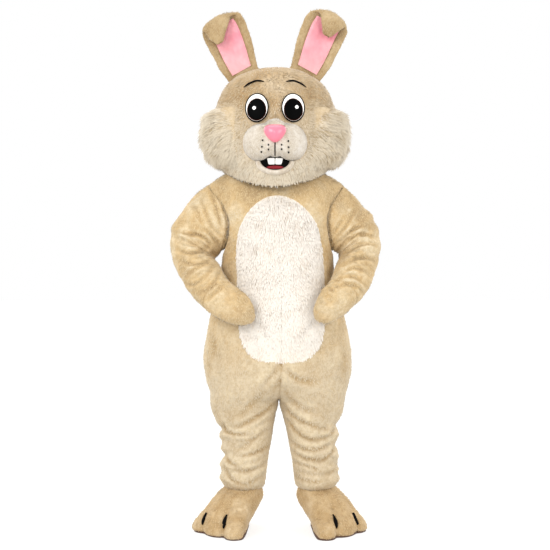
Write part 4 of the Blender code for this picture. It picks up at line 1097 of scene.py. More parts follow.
SEAM_LINES = {
    "side": [upright_seam(side, HEM, COLLAR, 500, 1.0) for side in SIDES],
    "back": [upright_seam("left", CROTCH, COLLAR, 400, 2.0)],
    "front": [upright_seam("left", CROTCH, FRONT_SEAM_TOP, 100, 0.0)],
    "belly": [upright_seam("left", *BELLY_SEAM, 250, 0.0)],
    "inner": [upright_seam(side, HEM, CROTCH, 250, 0.0) for side in SIDES],
}
legs = ("leg_left", "leg_right", "trunk")
SEAM_DEPTHS = {"side": 0.0018, "back": 0.0025, "front": 0.004, "belly": 0.004, "inner": 0.002}
SEAM_WIDTH = 0.005
SWELL_SHARE = 0.8
pull = seam_pull(suit, [armhole_line(side) for side in SIDES], 0.005, 0.006) * shoulder_share(suit.points)
for name, depth in SEAM_DEPTHS.items():
    pull = np.minimum(pull, seam_pull(suit, SEAM_LINES[name], depth, SEAM_WIDTH))
swell = relief(suit.points, 0.11, 0.0045) + relief(suit.points, 0.035, 0.0016, 5.0)
raise_cloth(suit, pull + creased(suit, legs) + swell * SWELL_SHARE, PILE)
SUIT_PIECES = {}
for side in SIDES:
    for half in ("front", "back"):
        name = f"suit_{half}_{side}"
        SUIT_PIECES[name] = wear(cloth(suit, name, f"{name}_plush", PLUSH), "tan_plush", name)
    name = f"belly_{side}"
    SUIT_PIECES[name] = wear(cloth(suit, name, f"{name}_pelt", BELLY_UNDER), "white_pelt", name)
print(faces_of(SUIT_PIECES.values()), "faces in", ", ".join(SUIT_PIECES))

# %% [markdown]
# ## Sleeves and mitts
# Sleeve and mitt are one tube in form, sewn round at the wrist. The mitt closes over the fingertips.

# %% Skin of the arms
AROUND = 100
ARM_TUCK = 0.018


def make_arm_skin(side):
    """Sleeve and mitt as one skin, and the ring at the wrist. The sleeve's mouth is tucked into the suit."""
    sign = SIDES[side]
    turns = np.arange(AROUND) * CORNERS_AROUND / AROUND
    sleeve = np.array([sleeve_ring(side, s, turns) for s in np.linspace(0, SLEEVE_SECTIONS, 91)])
    mitt_sections = SLEEVE_SECTIONS + (MITT_END - SLEEVE_SECTIONS) * np.linspace(0, 1, 31)
    mitt = np.array([arm_ring(side, s, turns) for s in mitt_sections])
    mitt[0] = sleeve[-1]
    mouth = sleeve[0].mean(0)
    tucked = mouth + (sleeve[0] - mouth) * 0.90 - (sign * ARM_TUCK, 0, 0)
    sleeve = np.concatenate([[tucked, (tucked + sleeve[0]) / 2], sleeve])
    centre = mitt[-1].mean(0)
    away = centre - mitt[-5].mean(0)
    tip = centre + away / np.linalg.norm(away) * MITT_TIP
    turned = [(math.cos(angle), math.sin(angle)) for angle in (0.3, 0.6, 0.9, 1.2)]
    cap = [centre + (mitt[-1] - centre) * out + (tip - centre) * on for out, on in turned]
    mitt = np.concatenate([mitt, cap, [np.tile(tip, (AROUND, 1))]])
    skin = Skin()
    skin.grid(sleeve, lambda row, column: f"sleeve_{side}", flip=sign > 0, closed=True)
    skin.grid(mitt, lambda row, column: f"mitt_{side}", flip=sign > 0, closed=True)
    skin.settle()
    return skin, sleeve[-1]


ARM_SKINS = {}
for side in SIDES:
    skin, wrist = make_arm_skin(side)
    pull = seam_pull(skin, [armhole_line(side)], 0.004, 0.006) * shoulder_share(skin.points)
    pull = np.minimum(pull, seam_pull(skin, [wrist], 0.0035, 0.005))
    swell = relief(skin.points, 0.08, 0.004, 3.0) + relief(skin.points, 0.03, 0.0018, 8.0)
    raise_cloth(skin, pull + creased(skin, (f"arm_{side}",)) + swell * SWELL_SHARE, PILE)
    for name in (f"sleeve_{side}", f"mitt_{side}"):
        SUIT_PIECES[name] = wear(cloth(skin, name, f"{name}_plush", PLUSH), "tan_plush", name)
    ARM_SKINS[side] = skin
print(sum(len(skin.points) for skin in ARM_SKINS.values()), "points in sleeves and mitts")

# %% [markdown]
# ## The feet
# Each foot is a loose slipper of the same plush over foam: three toes in front, a heel behind, and a flat
# brown sole. From the hem of the leg the upper spreads out to the sole's outline.

# %% Form of the feet
FOOT_OUTLINE = table("""
out/mm ahead/mm
-23   20
-21   60
-19  105
-15  155
-9  205
-1  235
18  249
40  250
60  236
75  203
96  199
121  187
142  162
160  128
182  114
198   92
203   62
187   30
154    2
124  -30
97  -64
74  -91
49 -107
24 -111
1 -102
-14  -83
-21  -55
-24  -18
""")
FOOT_MIDDLE = {"out": 0.084, "ahead": 0.075}
FOOT_TURN = math.radians(36)
FOOT_PROFILE = table("""
up toe heel
1    0     0
0.91 0.21  -0.1
0.79 0.39 -0.16
0.67 0.56 -0.08
0.54 0.72  0.12
0.38  0.9  0.42
0.2 1.02  0.78
0.06 1.04     1
0    1     1
""")
SOLE = 0.010
TOES_SHARE = 1.5
PLUMP = 0.05
PLUMP_LEVEL = 0.27
PLUMP_SPAN = 0.24
SWELL = 0.13
SWELL_LEVEL = 0.78
SWELL_SPAN = 0.5
EDGE_DROP = 0.006
FINER = 5


def between(a, b, c, d, t):
    """Smooth curve from b to c, which comes from a and goes on to d."""
    return 0.5 * (2 * b + (c - a) * t + (2 * a - 5 * b + 4 * c - d) * t**2 + (3 * b - a - 3 * c + d) * t**3)


def closed_curve(points, finer):
    """A smooth closed curve through points, with finer places to each of them."""
    points = np.asarray(points, float)
    before, after, beyond = (np.roll(points, -n, axis=0) for n in (-1, 1, 2))
    out = [between(before, points, after, beyond, step / finer) for step in range(finer)]
    return np.stack(out, axis=1).reshape(-1, points.shape[1])


def hem_ring(side, finer=FINER):
    """The hem of a leg, from the inseam round by the front, with as many places as the sole's outline."""
    around = QUARTER + tuple(2 - place for place in QUARTER[-2::-1])
    turns = np.arange(28 * finer) / finer / 2
    return suit_point(side, np.full(len(turns), HEM), np.interp(turns, range(15), around))


def sole_outline(side):
    """Outline of the sole and each place's share of the toes' profile."""
    ankle = hem_ring(side).mean(0)
    out, ahead = closed_curve([(p["out"], p["ahead"]) for p in FOOT_OUTLINE], FINER).T
    outline = np.stack([ankle[0] + SIDES[side] * out, ankle[1] - ahead, 0 * out], axis=-1)
    turn = np.arctan2(out - FOOT_MIDDLE["out"], ahead - FOOT_MIDDLE["ahead"]) - FOOT_TURN
    return outline, ((1 + np.cos(turn)) / 2) ** TOES_SHARE


def outer_share(outline, middle):
    """Each place's share of the swell on the foot's outer side."""
    across, along = np.abs(outline[:, 0]) - abs(middle[0]), outline[:, 1] - middle[1]
    return np.maximum(across / np.hypot(across, along), 0) ** 2


def foot_rings(side, levels):
    """Rings of the foot, one for each level from 1 at the ankle to 0 at the sole."""
    outline, share = sole_outline(side)
    top = hem_ring(side)
    toe, heel = (reader(FOOT_PROFILE, "up", name)(levels) for name in ("toe", "heel"))
    plump = PLUMP * np.exp(-(((levels - PLUMP_LEVEL) / PLUMP_SPAN) ** 2))
    out = (toe + plump)[:, None] * share + heel[:, None] * (1 - share)
    swell = SWELL * eased(np.abs(levels - SWELL_LEVEL) / SWELL_SPAN)
    out = out + swell[:, None] * outer_share(outline, outline.mean(0))
    rings = top + (outline - top) * out[:, :, None]
    rings[:, :, 2] = SOLE + (HEM - SOLE) * levels[:, None] - EDGE_DROP * (1 - levels[:, None]) ** 6
    return rings


# %% [markdown]
# The cleft between two toes is sewn down to the sole, so it runs on from the notch in the outline. Behind
# each cleft a slit of black felt is let in.

# %% Feet
CLEFTS = {"inner": 9, "outer": 13}
CLEFT_FROM = 0.50
CREST_COLUMN = 11
CREST_FROM = 0.3
HEM_DRAWN_IN = 0.86
HEM_TUCK = 0.02


def make_foot(side):
    """The foot's upper, turned in under the sole and up inside the hem of the leg."""
    levels = np.linspace(1, 0, 34)
    rings = foot_rings(side, levels)
    under = rings[-1]
    middle = under.mean(0)
    turned = [middle + (under - middle) * share for share in (0.975, 0.93)]
    hem = rings[0].mean(0) + (rings[0] - rings[0].mean(0)) * HEM_DRAWN_IN
    hem[:, 2] += HEM_TUCK
    skin = one_piece(np.concatenate([[hem], rings, turned]), "foot", SIDES[side] < 0, closed=True)
    low = levels < CLEFT_FROM
    lines = [rings[low, column * FINER] for column in CLEFTS.values()]
    pull = seam_pull(skin, lines, 0.003, 0.007)
    crest = seam_pull(skin, [rings[levels > CREST_FROM, CREST_COLUMN * FINER]], 0.0016, 0.004)
    toes = relief(skin.points, 0.07, 0.004, 11.0) + relief(skin.points, 0.028, 0.0016, 2.0)
    raise_cloth(skin, pull + crest + toes, PILE)
    return wear(cloth(skin, "foot", f"foot_{side}_plush", FOOT_PLUSH), "tan_plush", f"foot_{side}"), skin


FEET = {side: make_foot(side) for side in SIDES}
SLITS = {"inner": (0.19, 0.49), "outer": (0.18, 0.47)}
SLIT_HALF = 0.0078
SLIT_STEPS = 30
SLIT_SECTION = (
    *((-1, -0.004), (-1, 0.0055), (-0.5, 0.0085), (0, 0.0095)),
    *((0.5, 0.0085), (1, 0.0055), (1, -0.004)),
)


def make_slit(side, which):
    """A lens of black felt let into the foot behind a cleft."""
    tree = FEET[side][1].tree()
    route = foot_rings(side, np.linspace(*SLITS[which], SLIT_STEPS))[:, CLEFTS[which] * FINER]
    found = [tree.find_nearest(Vector(place))[:2] for place in route]
    normal = sum((normal for _, normal in found), Vector()).normalized()
    rows = []
    last = SLIT_STEPS - 1
    for number, (here, _) in enumerate(found):
        run = Vector(route[min(number + 1, last)] - route[max(number - 1, 0)]).normalized()
        across = normal.cross(run).normalized()
        half = SLIT_HALF * math.sin(math.pi * (0.02 + 0.96 * number / last)) ** 0.9
        rows.append([here + across * share * half + normal * up for share, up in SLIT_SECTION])
    made = cloth(one_piece(rows, "slit"), "slit", f"slit_{which}_{side}_felt", BLACK_FELT)
    return wear(made, "black_felt", f"toe_mark_{which}_{side}")


SLIT_MADE = {side: [make_slit(side, which) for which in SLITS] for side in SIDES}
SOLE_INSET = 0.002
SOLE_SECTION = (
    *((0.0, 0.0), (0.6, 0.0), (0.995, 0.0), (1.0, 0.001), (1.0, 0.008)),
    *((0.995, 0.0095), (0.9, 0.0095)),
)


def make_sole(side):
    """A flat sole with a rounded edge, a little wider than the upper."""
    outline, _ = sole_outline(side)
    middle = outline.mean(0)
    reach = np.linalg.norm(outline - middle, axis=1)[:, None]
    rows = []
    for out, up in SOLE_SECTION:
        row = middle + (outline - middle) * (1 - SOLE_INSET / reach) * out
        row[:, 2] = up
        rows.append(row)
    skin = one_piece(rows, "sole", SIDES[side] > 0, closed=True)
    return wear(cloth(skin, "sole", f"sole_{side}_rubber", SOLE_BROWN), "brown_sole", f"sole_{side}")


soles = [make_sole(side) for side in SIDES]
print(faces_of([foot for foot, _ in FEET.values()]), "faces in the feet,", faces_of(soles), "in the soles")

# %% [markdown]
# ## The head
# The head is a foam shell with fur glued over it, open below. It is turned up from the table's ovals; the
# lower edge dips at the chin.

# %% Form of the head
HEAD = table("""
height/mm half_width/mm front/mm back/mm front_dip/mm back_dip/mm
1898  75  70  75  0  0
1880 130 124 130  0  0
1852 178 168 176  0  0
1815 213 200 209  0  0
1770 236 221 231  0  0
1720 248 232 243  0  0
1665 254 238 250  0  0
1610 253 240 250  0  0
1562 247 240 244  6  0
1526 236 236 233 24  6
1496 221 224 217 46 12
1468.2 205 198 200 67 15
""")
CROWN = 1.905


def open_curve(values, places):
    """A smooth curve through rows of values at places, whole numbers at the rows; the first row is a pole."""
    values = np.asarray(values, float)
    across = np.array([-1, -1, -1, 1, 1, 1])
    beyond = 2 * values[-1] - values[-2]
    values = np.concatenate([[values[2] * across, values[1] * across], values, [beyond]])
    places = np.asarray(places, float) + 2
    here = np.clip(np.floor(places).astype(int), 1, len(values) - 3)
    return between(*(values[here + n] for n in (-1, 0, 1, 2)), (places - here)[:, None])


HEAD_NAMES = "half_width front back height front_dip back_dip".split()
HEAD_VALUES = [[0, 0, 0, CROWN, 0, 0]] + [[row[name] for name in HEAD_NAMES] for row in HEAD]


def head_point(place, angle):
    """Points of the head. place counts the table's rows from the crown; angle 0 is the front."""
    wide, front, back, height, front_dip, back_dip = open_curve(HEAD_VALUES, place).T[:, :, None]
    ahead = np.cos(angle)
    depth = np.where(ahead > 0, front, back)
    dip = np.where(ahead > 0, front_dip, back_dip)
    return np.stack([wide * np.sin(angle), -depth * ahead, height - dip * ahead**2], axis=-1)


# %% Skin of the head
HEAD_AROUND = 168
head_places = np.linspace(0, 12, 96)
head_angles = 2 * np.pi * np.arange(HEAD_AROUND) / HEAD_AROUND
head_rows = head_point(head_places, head_angles)
rim = head_rows[-1]
inside = [rim * (0.975, 0.975, 1) + (0, 0, -0.004), rim * (0.94, 0.94, 1), rim * (0.91, 0.91, 1) + (0, 0, 0.02)]


def head_piece(_, column):
    """The head is cut in two along a line over its crown, from ear to ear."""
    return "head_front" if math.cos(head_angles[column] + np.pi / HEAD_AROUND) > 0 else "head_back"


head = Skin()
head.grid(np.concatenate([head_rows, inside]), head_piece, closed=True)
head.settle()
bare_head = head.tree()
HEAD_SEAMS = [head_point(head_places, np.array([turn]))[:, 0] for turn in (np.pi / 2, -np.pi / 2)]
head_swell = relief(head.points, 0.10, 0.0035, 4.0) + relief(head.points, 0.03, 0.0014, 6.0)
raise_cloth(head, seam_pull(head, HEAD_SEAMS, 0.0012, 0.004) + head_swell, PILE)
HEAD_PIECES = {}
for name in ("head_front", "head_back"):
    made = cloth(head, name, f"{name}_plush", HEAD_PLUSH)
    HEAD_PIECES[name] = wear(made, "head_fur", name)
print(len(head.points), "points in the head")

# %% [markdown]
# ## Pieces laid on the face
# Eyes, muzzle, nose and mouth are plates. Each is laid on what is behind it by looking straight back from its
# own place in the front view, then domed.

# %% Plates and ribbons
FORWARD = Vector((0, 1, 0))
BEHIND = Vector((0, -1, 0))


def meet(tree, x, z):
    """The depth at which a line from the front meets a surface."""
    hit = tree.ray_cast(Vector((x, -1, z)), FORWARD)[0]
    return hit.y if hit else 0.0


def seat(x, z, back):
    """The smooth bowl that lies nearest to a surface under a plate."""
    columns = np.stack([np.ones_like(x), x, z, x * x, x * z, z * z], axis=-1)
    return columns @ np.linalg.lstsq(columns, back, rcond=None)[0]


def plate(name, centre, radius, tree, height, material, spokes=72, rings=9, clear=0.0016, smooth=False):
    """A domed plate on the front of a surface; radius gives its outline and height its front.

    A smooth plate is thick enough to hide what the surface under it does.
    """
    angles = 2 * np.pi * np.arange(spokes) / spokes
    reach = np.array([radius(angle) for angle in angles])
    rows = []
    for ring in range(rings + 2):
        out = min(math.sin(math.pi / 2 * ring / rings), 1.0) if ring <= rings else 1.0
        x = centre[0] + out * reach * np.cos(angles)
        z = centre[1] + out * reach * np.sin(angles)
        back = np.array([meet(tree, a, b) for a, b in zip(x, z)]) - clear
        rise = np.array([height(out, a, b) for a, b in zip(x, z)]) if ring <= rings else np.full(spokes, -0.004)
        rows.append(np.stack([x, back - rise, z, rise], axis=-1))
    rows = np.array(rows)
    if smooth:
        top = rows[:-1]
        x, z, rise = top[:, :, 0] - centre[0], top[:, :, 2] - centre[1], top[:, :, 3]
        top[:, :, 1] = seat(x.ravel(), z.ravel(), (top[:, :, 1] + rise).ravel()).reshape(x.shape) - rise
    rows = rows[:, :, :3]
    rows[0][:] = rows[0].mean(0)
    skin = one_piece(rows, name, closed=True)
    return cloth(skin, name, name, material), skin


# %% [markdown]
# An outline is an oval, a curve through points or a rounded polygon, and may be cut back where it must.

# %% Outlines of plates


def oval_radius(oval, grown=0.0):
    """Outline of an oval, grown by some metres."""
    return lambda angle: 1 / math.hypot(
        math.cos(angle) / (oval["half_x"] + grown), math.sin(angle) / (oval["half_z"] + grown)
    )


def curve_radius(points):
    """Outline given by a smooth closed curve through points round the centre."""
    x, z = closed_curve(points, 8).T
    angle = np.arctan2(z, x) % (2 * np.pi)
    order = np.argsort(angle)
    angle, reach = angle[order], np.hypot(x, z)[order]
    return lambda at: float(np.interp(at % (2 * math.pi), angle, reach, period=2 * math.pi))


def rounded_radius(sides, power):
    """Outline bounded by straight sides, each (normal x, normal z, distance), with rounded corners."""

    def radius(angle):
        x, z = math.cos(angle), math.sin(angle)
        total = sum(max((x * side[0] + z * side[1]) / side[2], 0.0) ** power for side in sides)
        return total ** (-1 / power)

    return radius


def trimmed(centre, radius, allowed, least=0.002, step=0.0004):
    """The outline, drawn in until every place on it is allowed."""

    def shortened(angle):
        reach = radius(angle)
        while reach > least and not allowed(
            centre[0] + reach * math.cos(angle), centre[1] + reach * math.sin(angle)
        ):
            reach -= step
        return reach

    return shortened


def dome(edge, rise):
    """Height of a plate that is edge thick at its outline and rises by rise towards its middle."""
    return lambda out, x, z: edge + rise * math.sqrt(max(1 - out * out, 0.0))


def ribbon(name, route, half_widths, rise, tree, material, across=5):
    """A low ribbon on a surface along a route of (x, z) places as seen from the front."""
    route = np.asarray(route, float)
    run = np.gradient(route, axis=0)
    side = np.stack([-run[:, 1], run[:, 0]], axis=-1) / np.linalg.norm(run, axis=1)[:, None]
    rows = []
    for place, normal, half in zip(route, side, half_widths):
        row = []
        for column in range(across + 2):
            share = min(max((column - 1) / (across - 1) * 2 - 1, -1), 1)
            x, z = place + normal * share * half
            up = rise * (1 - 0.6 * share * share) if 0 < column <= across else -0.003
            row.append((x, meet(tree, x, z) - up, z))
        rows.append(row)
    return cloth(one_piece(rows, name), name, name, material)


# %% [markdown]
# ### The muzzle and the nose
# Two padded cheeks of short cream fur with a groove between them. The nose is moulded vinyl, glossy enough to
# mirror the lamps.

# %% Muzzle and nose
MUZZLE_CENTRE = (0.0, 1.572)
MUZZLE_LOBES = table("""
x/mm z/mm half_x/mm half_z/mm
-66 1566 60 68
66 1566 60 68
0 1583 60 73
""")
MUZZLE_ROUND = 6
MUZZLE_DEPTH = 0.078
MUZZLE_EDGE = 0.012
MUZZLE_SWELL = 2.6
GROOVE_DIP = 0.13
GROOVE_WIDTH = 0.016
NOSE_CENTRE = (0.0, 1.603)
NOSE_HALF = (
    *((0.0, 0.0240), (0.0231, 0.0226), (0.0370, 0.0165), (0.0432, 0.0045), (0.0386, -0.0135)),
    *((0.0262, -0.0310), (0.0123, -0.0425), (0.0, -0.0460)),
)
NOSE_EDGE = 0.006
NOSE_DEPTH = 0.027


def muzzle_radius(angle):
    """Outline of the muzzle: its lobes' ovals run smoothly together."""
    total = 0.0
    for lobe in MUZZLE_LOBES:
        x0 = (MUZZLE_CENTRE[0] - lobe["x"]) / lobe["half_x"]
        z0 = (MUZZLE_CENTRE[1] - lobe["z"]) / lobe["half_z"]
        dx = math.cos(angle) / lobe["half_x"]
        dz = math.sin(angle) / lobe["half_z"]
        a = dx * dx + dz * dz
        b = x0 * dx + z0 * dz
        c = x0 * x0 + z0 * z0 - 1
        within = b * b - a * c
        if within > 0:
            total += max((-b + math.sqrt(within)) / a, 0.0) ** MUZZLE_ROUND
    return total ** (1 / MUZZLE_ROUND)


def muzzle_height(out, x, z):
    """Swell of the muzzle, with the groove that runs down from the nose."""
    swell = math.sqrt(max(1 - out**MUZZLE_SWELL, 0.0))
    groove = math.exp(-((x / GROOVE_WIDTH) ** 2)) if z < NOSE_CENTRE[1] else 0.0
    return MUZZLE_EDGE + MUZZLE_DEPTH * swell * (1 - GROOVE_DIP * groove)


made, muzzle = plate(
    "muzzle_fur", MUZZLE_CENTRE, muzzle_radius, bare_head, muzzle_height, MUZZLE_PLUSH, 120, 22, 0.0
)
MUZZLE = wear(made, "head_fur", "muzzle")
muzzle_tree = muzzle.tree()
nose_radius = curve_radius(NOSE_HALF + tuple((-x, z) for x, z in NOSE_HALF[-2:0:-1]))
nose_dome = dome(NOSE_EDGE, NOSE_DEPTH)
made, _ = plate("nose_vinyl", NOSE_CENTRE, nose_radius, muzzle_tree, nose_dome, NOSE_VINYL, 96, 14, smooth=True)
wear(made, "pink_vinyl", "nose")
groove_end = MUZZLE_CENTRE[1] - muzzle_radius(-math.pi / 2) + 0.0012
groove = [(0.0, z) for z in np.linspace(1.578, groove_end, 24)]
made = ribbon("philtrum_thread", groove, np.full(24, 0.0024), 0.0040, muzzle_tree, BLACK_FELT)
wear(made, "black_felt", "philtrum")
WHISKERS = table("""
x/mm z/mm
-48   1565
-50.5 1540.5
-53 1521.5
-25 1547.5
-25   1530
51.5 1562.5
53 1538.5
53   1520
25.5 1547.5
25.5   1531
""")
WHISKER_DOT = {"half_x": 0.0032, "half_z": 0.0034}
DOT_DOME = dome(0.0050, 0.0008)
for number, dot in enumerate(WHISKERS):
    name, place = f"whisker_dot_{number}", (dot["x"], dot["z"])
    made, _ = plate(name, place, oval_radius(WHISKER_DOT), muzzle_tree, DOT_DOME, BLACK_FELT, 16, 3, 0.0004)
    wear(made, "black_felt")
print("muzzle, nose and", len(WHISKERS), "whisker dots")

# %% [markdown]
# ### The eyes
# Ovals of painted plastic, one on the other: a black rim, the white, a thin brown ring, the black pupil and a
# white highlight, all cut off where they meet the muzzle.

# %% Eyes
EYE = {"x": 0.072, "z": 1.706, "half_x": 0.047, "half_z": 0.0585}
EYE_RIM = 0.0045
IRIS = {"x": 0.0725, "z": 1.6950, "half_x": 0.0380, "half_z": 0.0470}
PUPIL_RIM = 0.0022
GLINTS = {"left": (0.0860, 1.7070), "right": (-0.0822, 1.7030)}
GLINT = {"half_x": 0.0070, "half_z": 0.0072}
CLEAR_OF_MUZZLE = 0.002


def beside_muzzle(x, z):
    """Whether a place in the front view is clear of the muzzle."""
    x, z = x - MUZZLE_CENTRE[0], z - MUZZLE_CENTRE[1]
    return math.hypot(x, z) > muzzle_radius(math.atan2(z, x)) + CLEAR_OF_MUZZLE


def within(centre, radius, margin):
    """A test of whether a place lies inside an outline by a margin."""
    return lambda x, z: math.hypot(x - centre[0], z - centre[1]) < radius(
        math.atan2(z - centre[1], x - centre[0])
    ) - margin


for side, sign in SIDES.items():
    centre = (sign * EYE["x"], EYE["z"])
    outline = trimmed(centre, oval_radius(EYE), beside_muzzle)
    inner = trimmed(centre, oval_radius(EYE, -EYE_RIM), within(centre, outline, EYE_RIM / 2))
    at = (sign * IRIS["x"], IRIS["z"])
    ring = trimmed(at, oval_radius(IRIS), within(centre, inner, 0.0006))
    edge = lambda turn: ring(turn) - PUPIL_RIM
    layers = (
        ("eye_rim", "black_plastic", centre, outline, dome(0.005, 0.0), EYE_BLACK, 0.002),
        ("eye_white", "white_plastic", centre, inner, dome(0.0015, 0.006), EYE_WHITE, 0.0),
        ("iris", "brown_plastic", at, ring, dome(0.0018, 0.0), IRIS_BROWN, 0.0),
        ("pupil", "black_plastic", at, edge, dome(0.0012, 0.001), EYE_BLACK, 0.0),
    )
    tree = bare_head
    for name, slot, middle, edge, height, enamel, clear in layers:
        made, skin = plate(f"{name}_{side}_enamel", middle, edge, tree, height, enamel, clear=clear)
        wear(made, slot, f"{name}_{side}")
        tree = skin.tree()
    name, height = f"glint_{side}_enamel", dome(0.0008, 0.0004)
    made, _ = plate(name, GLINTS[side], oval_radius(GLINT), tree, height, EYE_WHITE, 32, 4, 0.0)
    wear(made, "white_plastic")

# %% [markdown]
# ### The mouth and the brows
# The mouth is a black felt lining with a tongue and two teeth on it, over a padded lip. The brows are ribbons
# of felt that thin out at their ends.

# %% Mouth and brows
MOUTH = {"x": 0.0, "z": 1.4985, "half_x": 0.058, "half_z": 0.038}
LIP_WIDTH = 0.0095
LIP_OUT = 0.0105
LIP_TURN = (math.radians(184.3), math.radians(355.7))
TONGUE = {"x": 0.0, "z": 1.4695, "half_x": 0.034, "half_z": 0.0065}
TOOTH = {"x": 0.0156, "z": 1.493, "half_x": 0.0146, "half_z": 0.0125}
TOOTH_ROUND = 8
BROWS = table("""
x/mm z/mm
126 1795
100 1812
72 1820
43 1815
""")
BROW_HALF = 0.0037
mouth_centre = (MOUTH["x"], MOUTH["z"] - MOUTH["half_z"] / 2)


def gape(x, z):
    """Whether a place in the front view is in the open mouth."""
    out = math.hypot(x / MOUTH["half_x"], (z - MOUTH["z"]) / MOUTH["half_z"])
    return (out < 1 or z > MOUTH["z"] and abs(x) < MOUTH["half_x"]) and beside_muzzle(x, z)


outline = trimmed(mouth_centre, lambda angle: MOUTH["half_x"] * 1.3, gape)
made, skin = plate("mouth_lining_felt", mouth_centre, outline, bare_head, dome(0.0025, 0.0), BLACK_FELT)
wear(made, "black_felt", "mouth_lining")
mouth_tree = skin.tree()
at = (TONGUE["x"], TONGUE["z"])
made, _ = plate("tongue_felt", at, oval_radius(TONGUE), mouth_tree, dome(0.002, 0.003), RED_FELT, 48, 6, 0.0)
wear(made, "red_felt", "tongue")
for side, sign in SIDES.items():
    at = (sign * TOOTH["x"], TOOTH["z"])
    sides = ((0, -1, TOOTH["half_z"]), (0, 1, TOOTH["half_z"]), (-sign, 0, TOOTH["half_x"]))
    sides += ((0.965 * sign, -0.262, TOOTH["half_x"] * 0.87),)
    edge = trimmed(at, rounded_radius(sides, TOOTH_ROUND), within(mouth_centre, outline, CLEAR_OF_MUZZLE / 2))
    made, _ = plate(f"tooth_{side}_enamel", at, edge, mouth_tree, dome(0.004, 0.002), EYE_WHITE, 48, 8, 0.0)
    wear(made, "white_plastic", f"tooth_{side}")
    x = np.linspace(BROWS[0]["x"], BROWS[-1]["x"], 40)
    z = reader(BROWS, "x", "z")(x)
    taper = BROW_HALF * np.clip(np.sin(np.pi * np.linspace(0.04, 0.96, 40)) * 1.6, 0.25, 1)
    made = ribbon(f"brow_{side}_felt", np.stack([sign * x, z], axis=-1), taper, 0.0045, bare_head, BLACK_FELT)
    wear(made, "black_felt", f"brow_{side}")
turns = np.linspace(*LIP_TURN, 60)
x = (MOUTH["half_x"] + LIP_OUT) * np.cos(turns)
z = MOUTH["z"] + (MOUTH["half_z"] + LIP_OUT) * np.sin(turns)
route, halves = np.stack([x, z], axis=-1), np.full(60, LIP_WIDTH)
made = ribbon("lower_lip_plush", route, halves, 0.017, bare_head, MUZZLE_PLUSH, 11)
LIP = wear(made, "head_fur", "lower_lip")

# %% [markdown]
# ## The ears
# Each ear is a padded leaf of the head's plush, cupped a little, its tip folded forward. A satin lining is
# let into the front, and its spare width lies in fine puckers along the seam.

# %% Ears
EAR = table("""
along/mm centre/mm half_width/mm
0   0 66
50  -4 76
100 -10 85
150 -16 89
200 -20 91
240 -20 87
280 -10 70
320   6 49
355  18 30
380  24 14
""")
EAR_THICK = 0.012
EAR_THIN_HALF = 0.03
EAR_CUP = 0.020
EAR_CUP_HALF = 0.09
FOLD_RADIUS = 0.026
FOLD_TURN = math.radians(170)
EARS = table("""
side/word x/mm y/mm z/mm lean/deg fold_start/mm tip_shift/mm
right 129 0 1872 29 226   0
left  125 0 1876 29 236 -22
""")
EAR_FOOT = -0.03
LINING_ALONG = (0.020, 0.226)
LINING_TURN = (math.radians(51.4), math.radians(128.6))


def ear_point(ear, along, turn, lift=0.0):
    """Points of an ear. turn goes round its section: a quarter turn is the middle of the front."""
    sign = SIDES[ear["side"]]
    along = np.asarray(along, float)[:, None]
    half = reader(EAR, "along", "half_width")(along)
    tip = np.maximum(along - ear["fold_start"], 0) / (EAR[-1]["along"] - ear["fold_start"])
    across = reader(EAR, "along", "centre")(along) + ear["tip_shift"] * tip + half * np.cos(turn)
    thick = EAR_THICK * np.minimum(1, half / EAR_THIN_HALF) * np.sin(turn)
    raised = thick + EAR_CUP * (np.cos(turn) * half / EAR_CUP_HALF) ** 2 + lift
    past = along - ear["fold_start"]
    angle = np.clip(past / FOLD_RADIUS, 0, FOLD_TURN)
    straight = np.maximum(past - FOLD_RADIUS * FOLD_TURN, 0)
    up = np.minimum(along, ear["fold_start"]) + FOLD_RADIUS * np.sin(angle) + straight * np.cos(angle)
    out = FOLD_RADIUS * (1 - np.cos(angle)) + straight * np.sin(angle)
    up = up - np.sin(angle) * raised
    out = out + np.cos(angle) * raised
    lean = ear["lean"]
    x = ear["x"] + up * math.sin(lean) + across * math.cos(lean)
    z = ear["z"] + up * math.cos(lean) - across * math.sin(lean)
    return np.stack([sign * x, ear["y"] - out, z], axis=-1)


# %% [markdown]
# The lining is a skin of its own, raised off the ear's front and rippled across its width.

# %% The ears and their linings


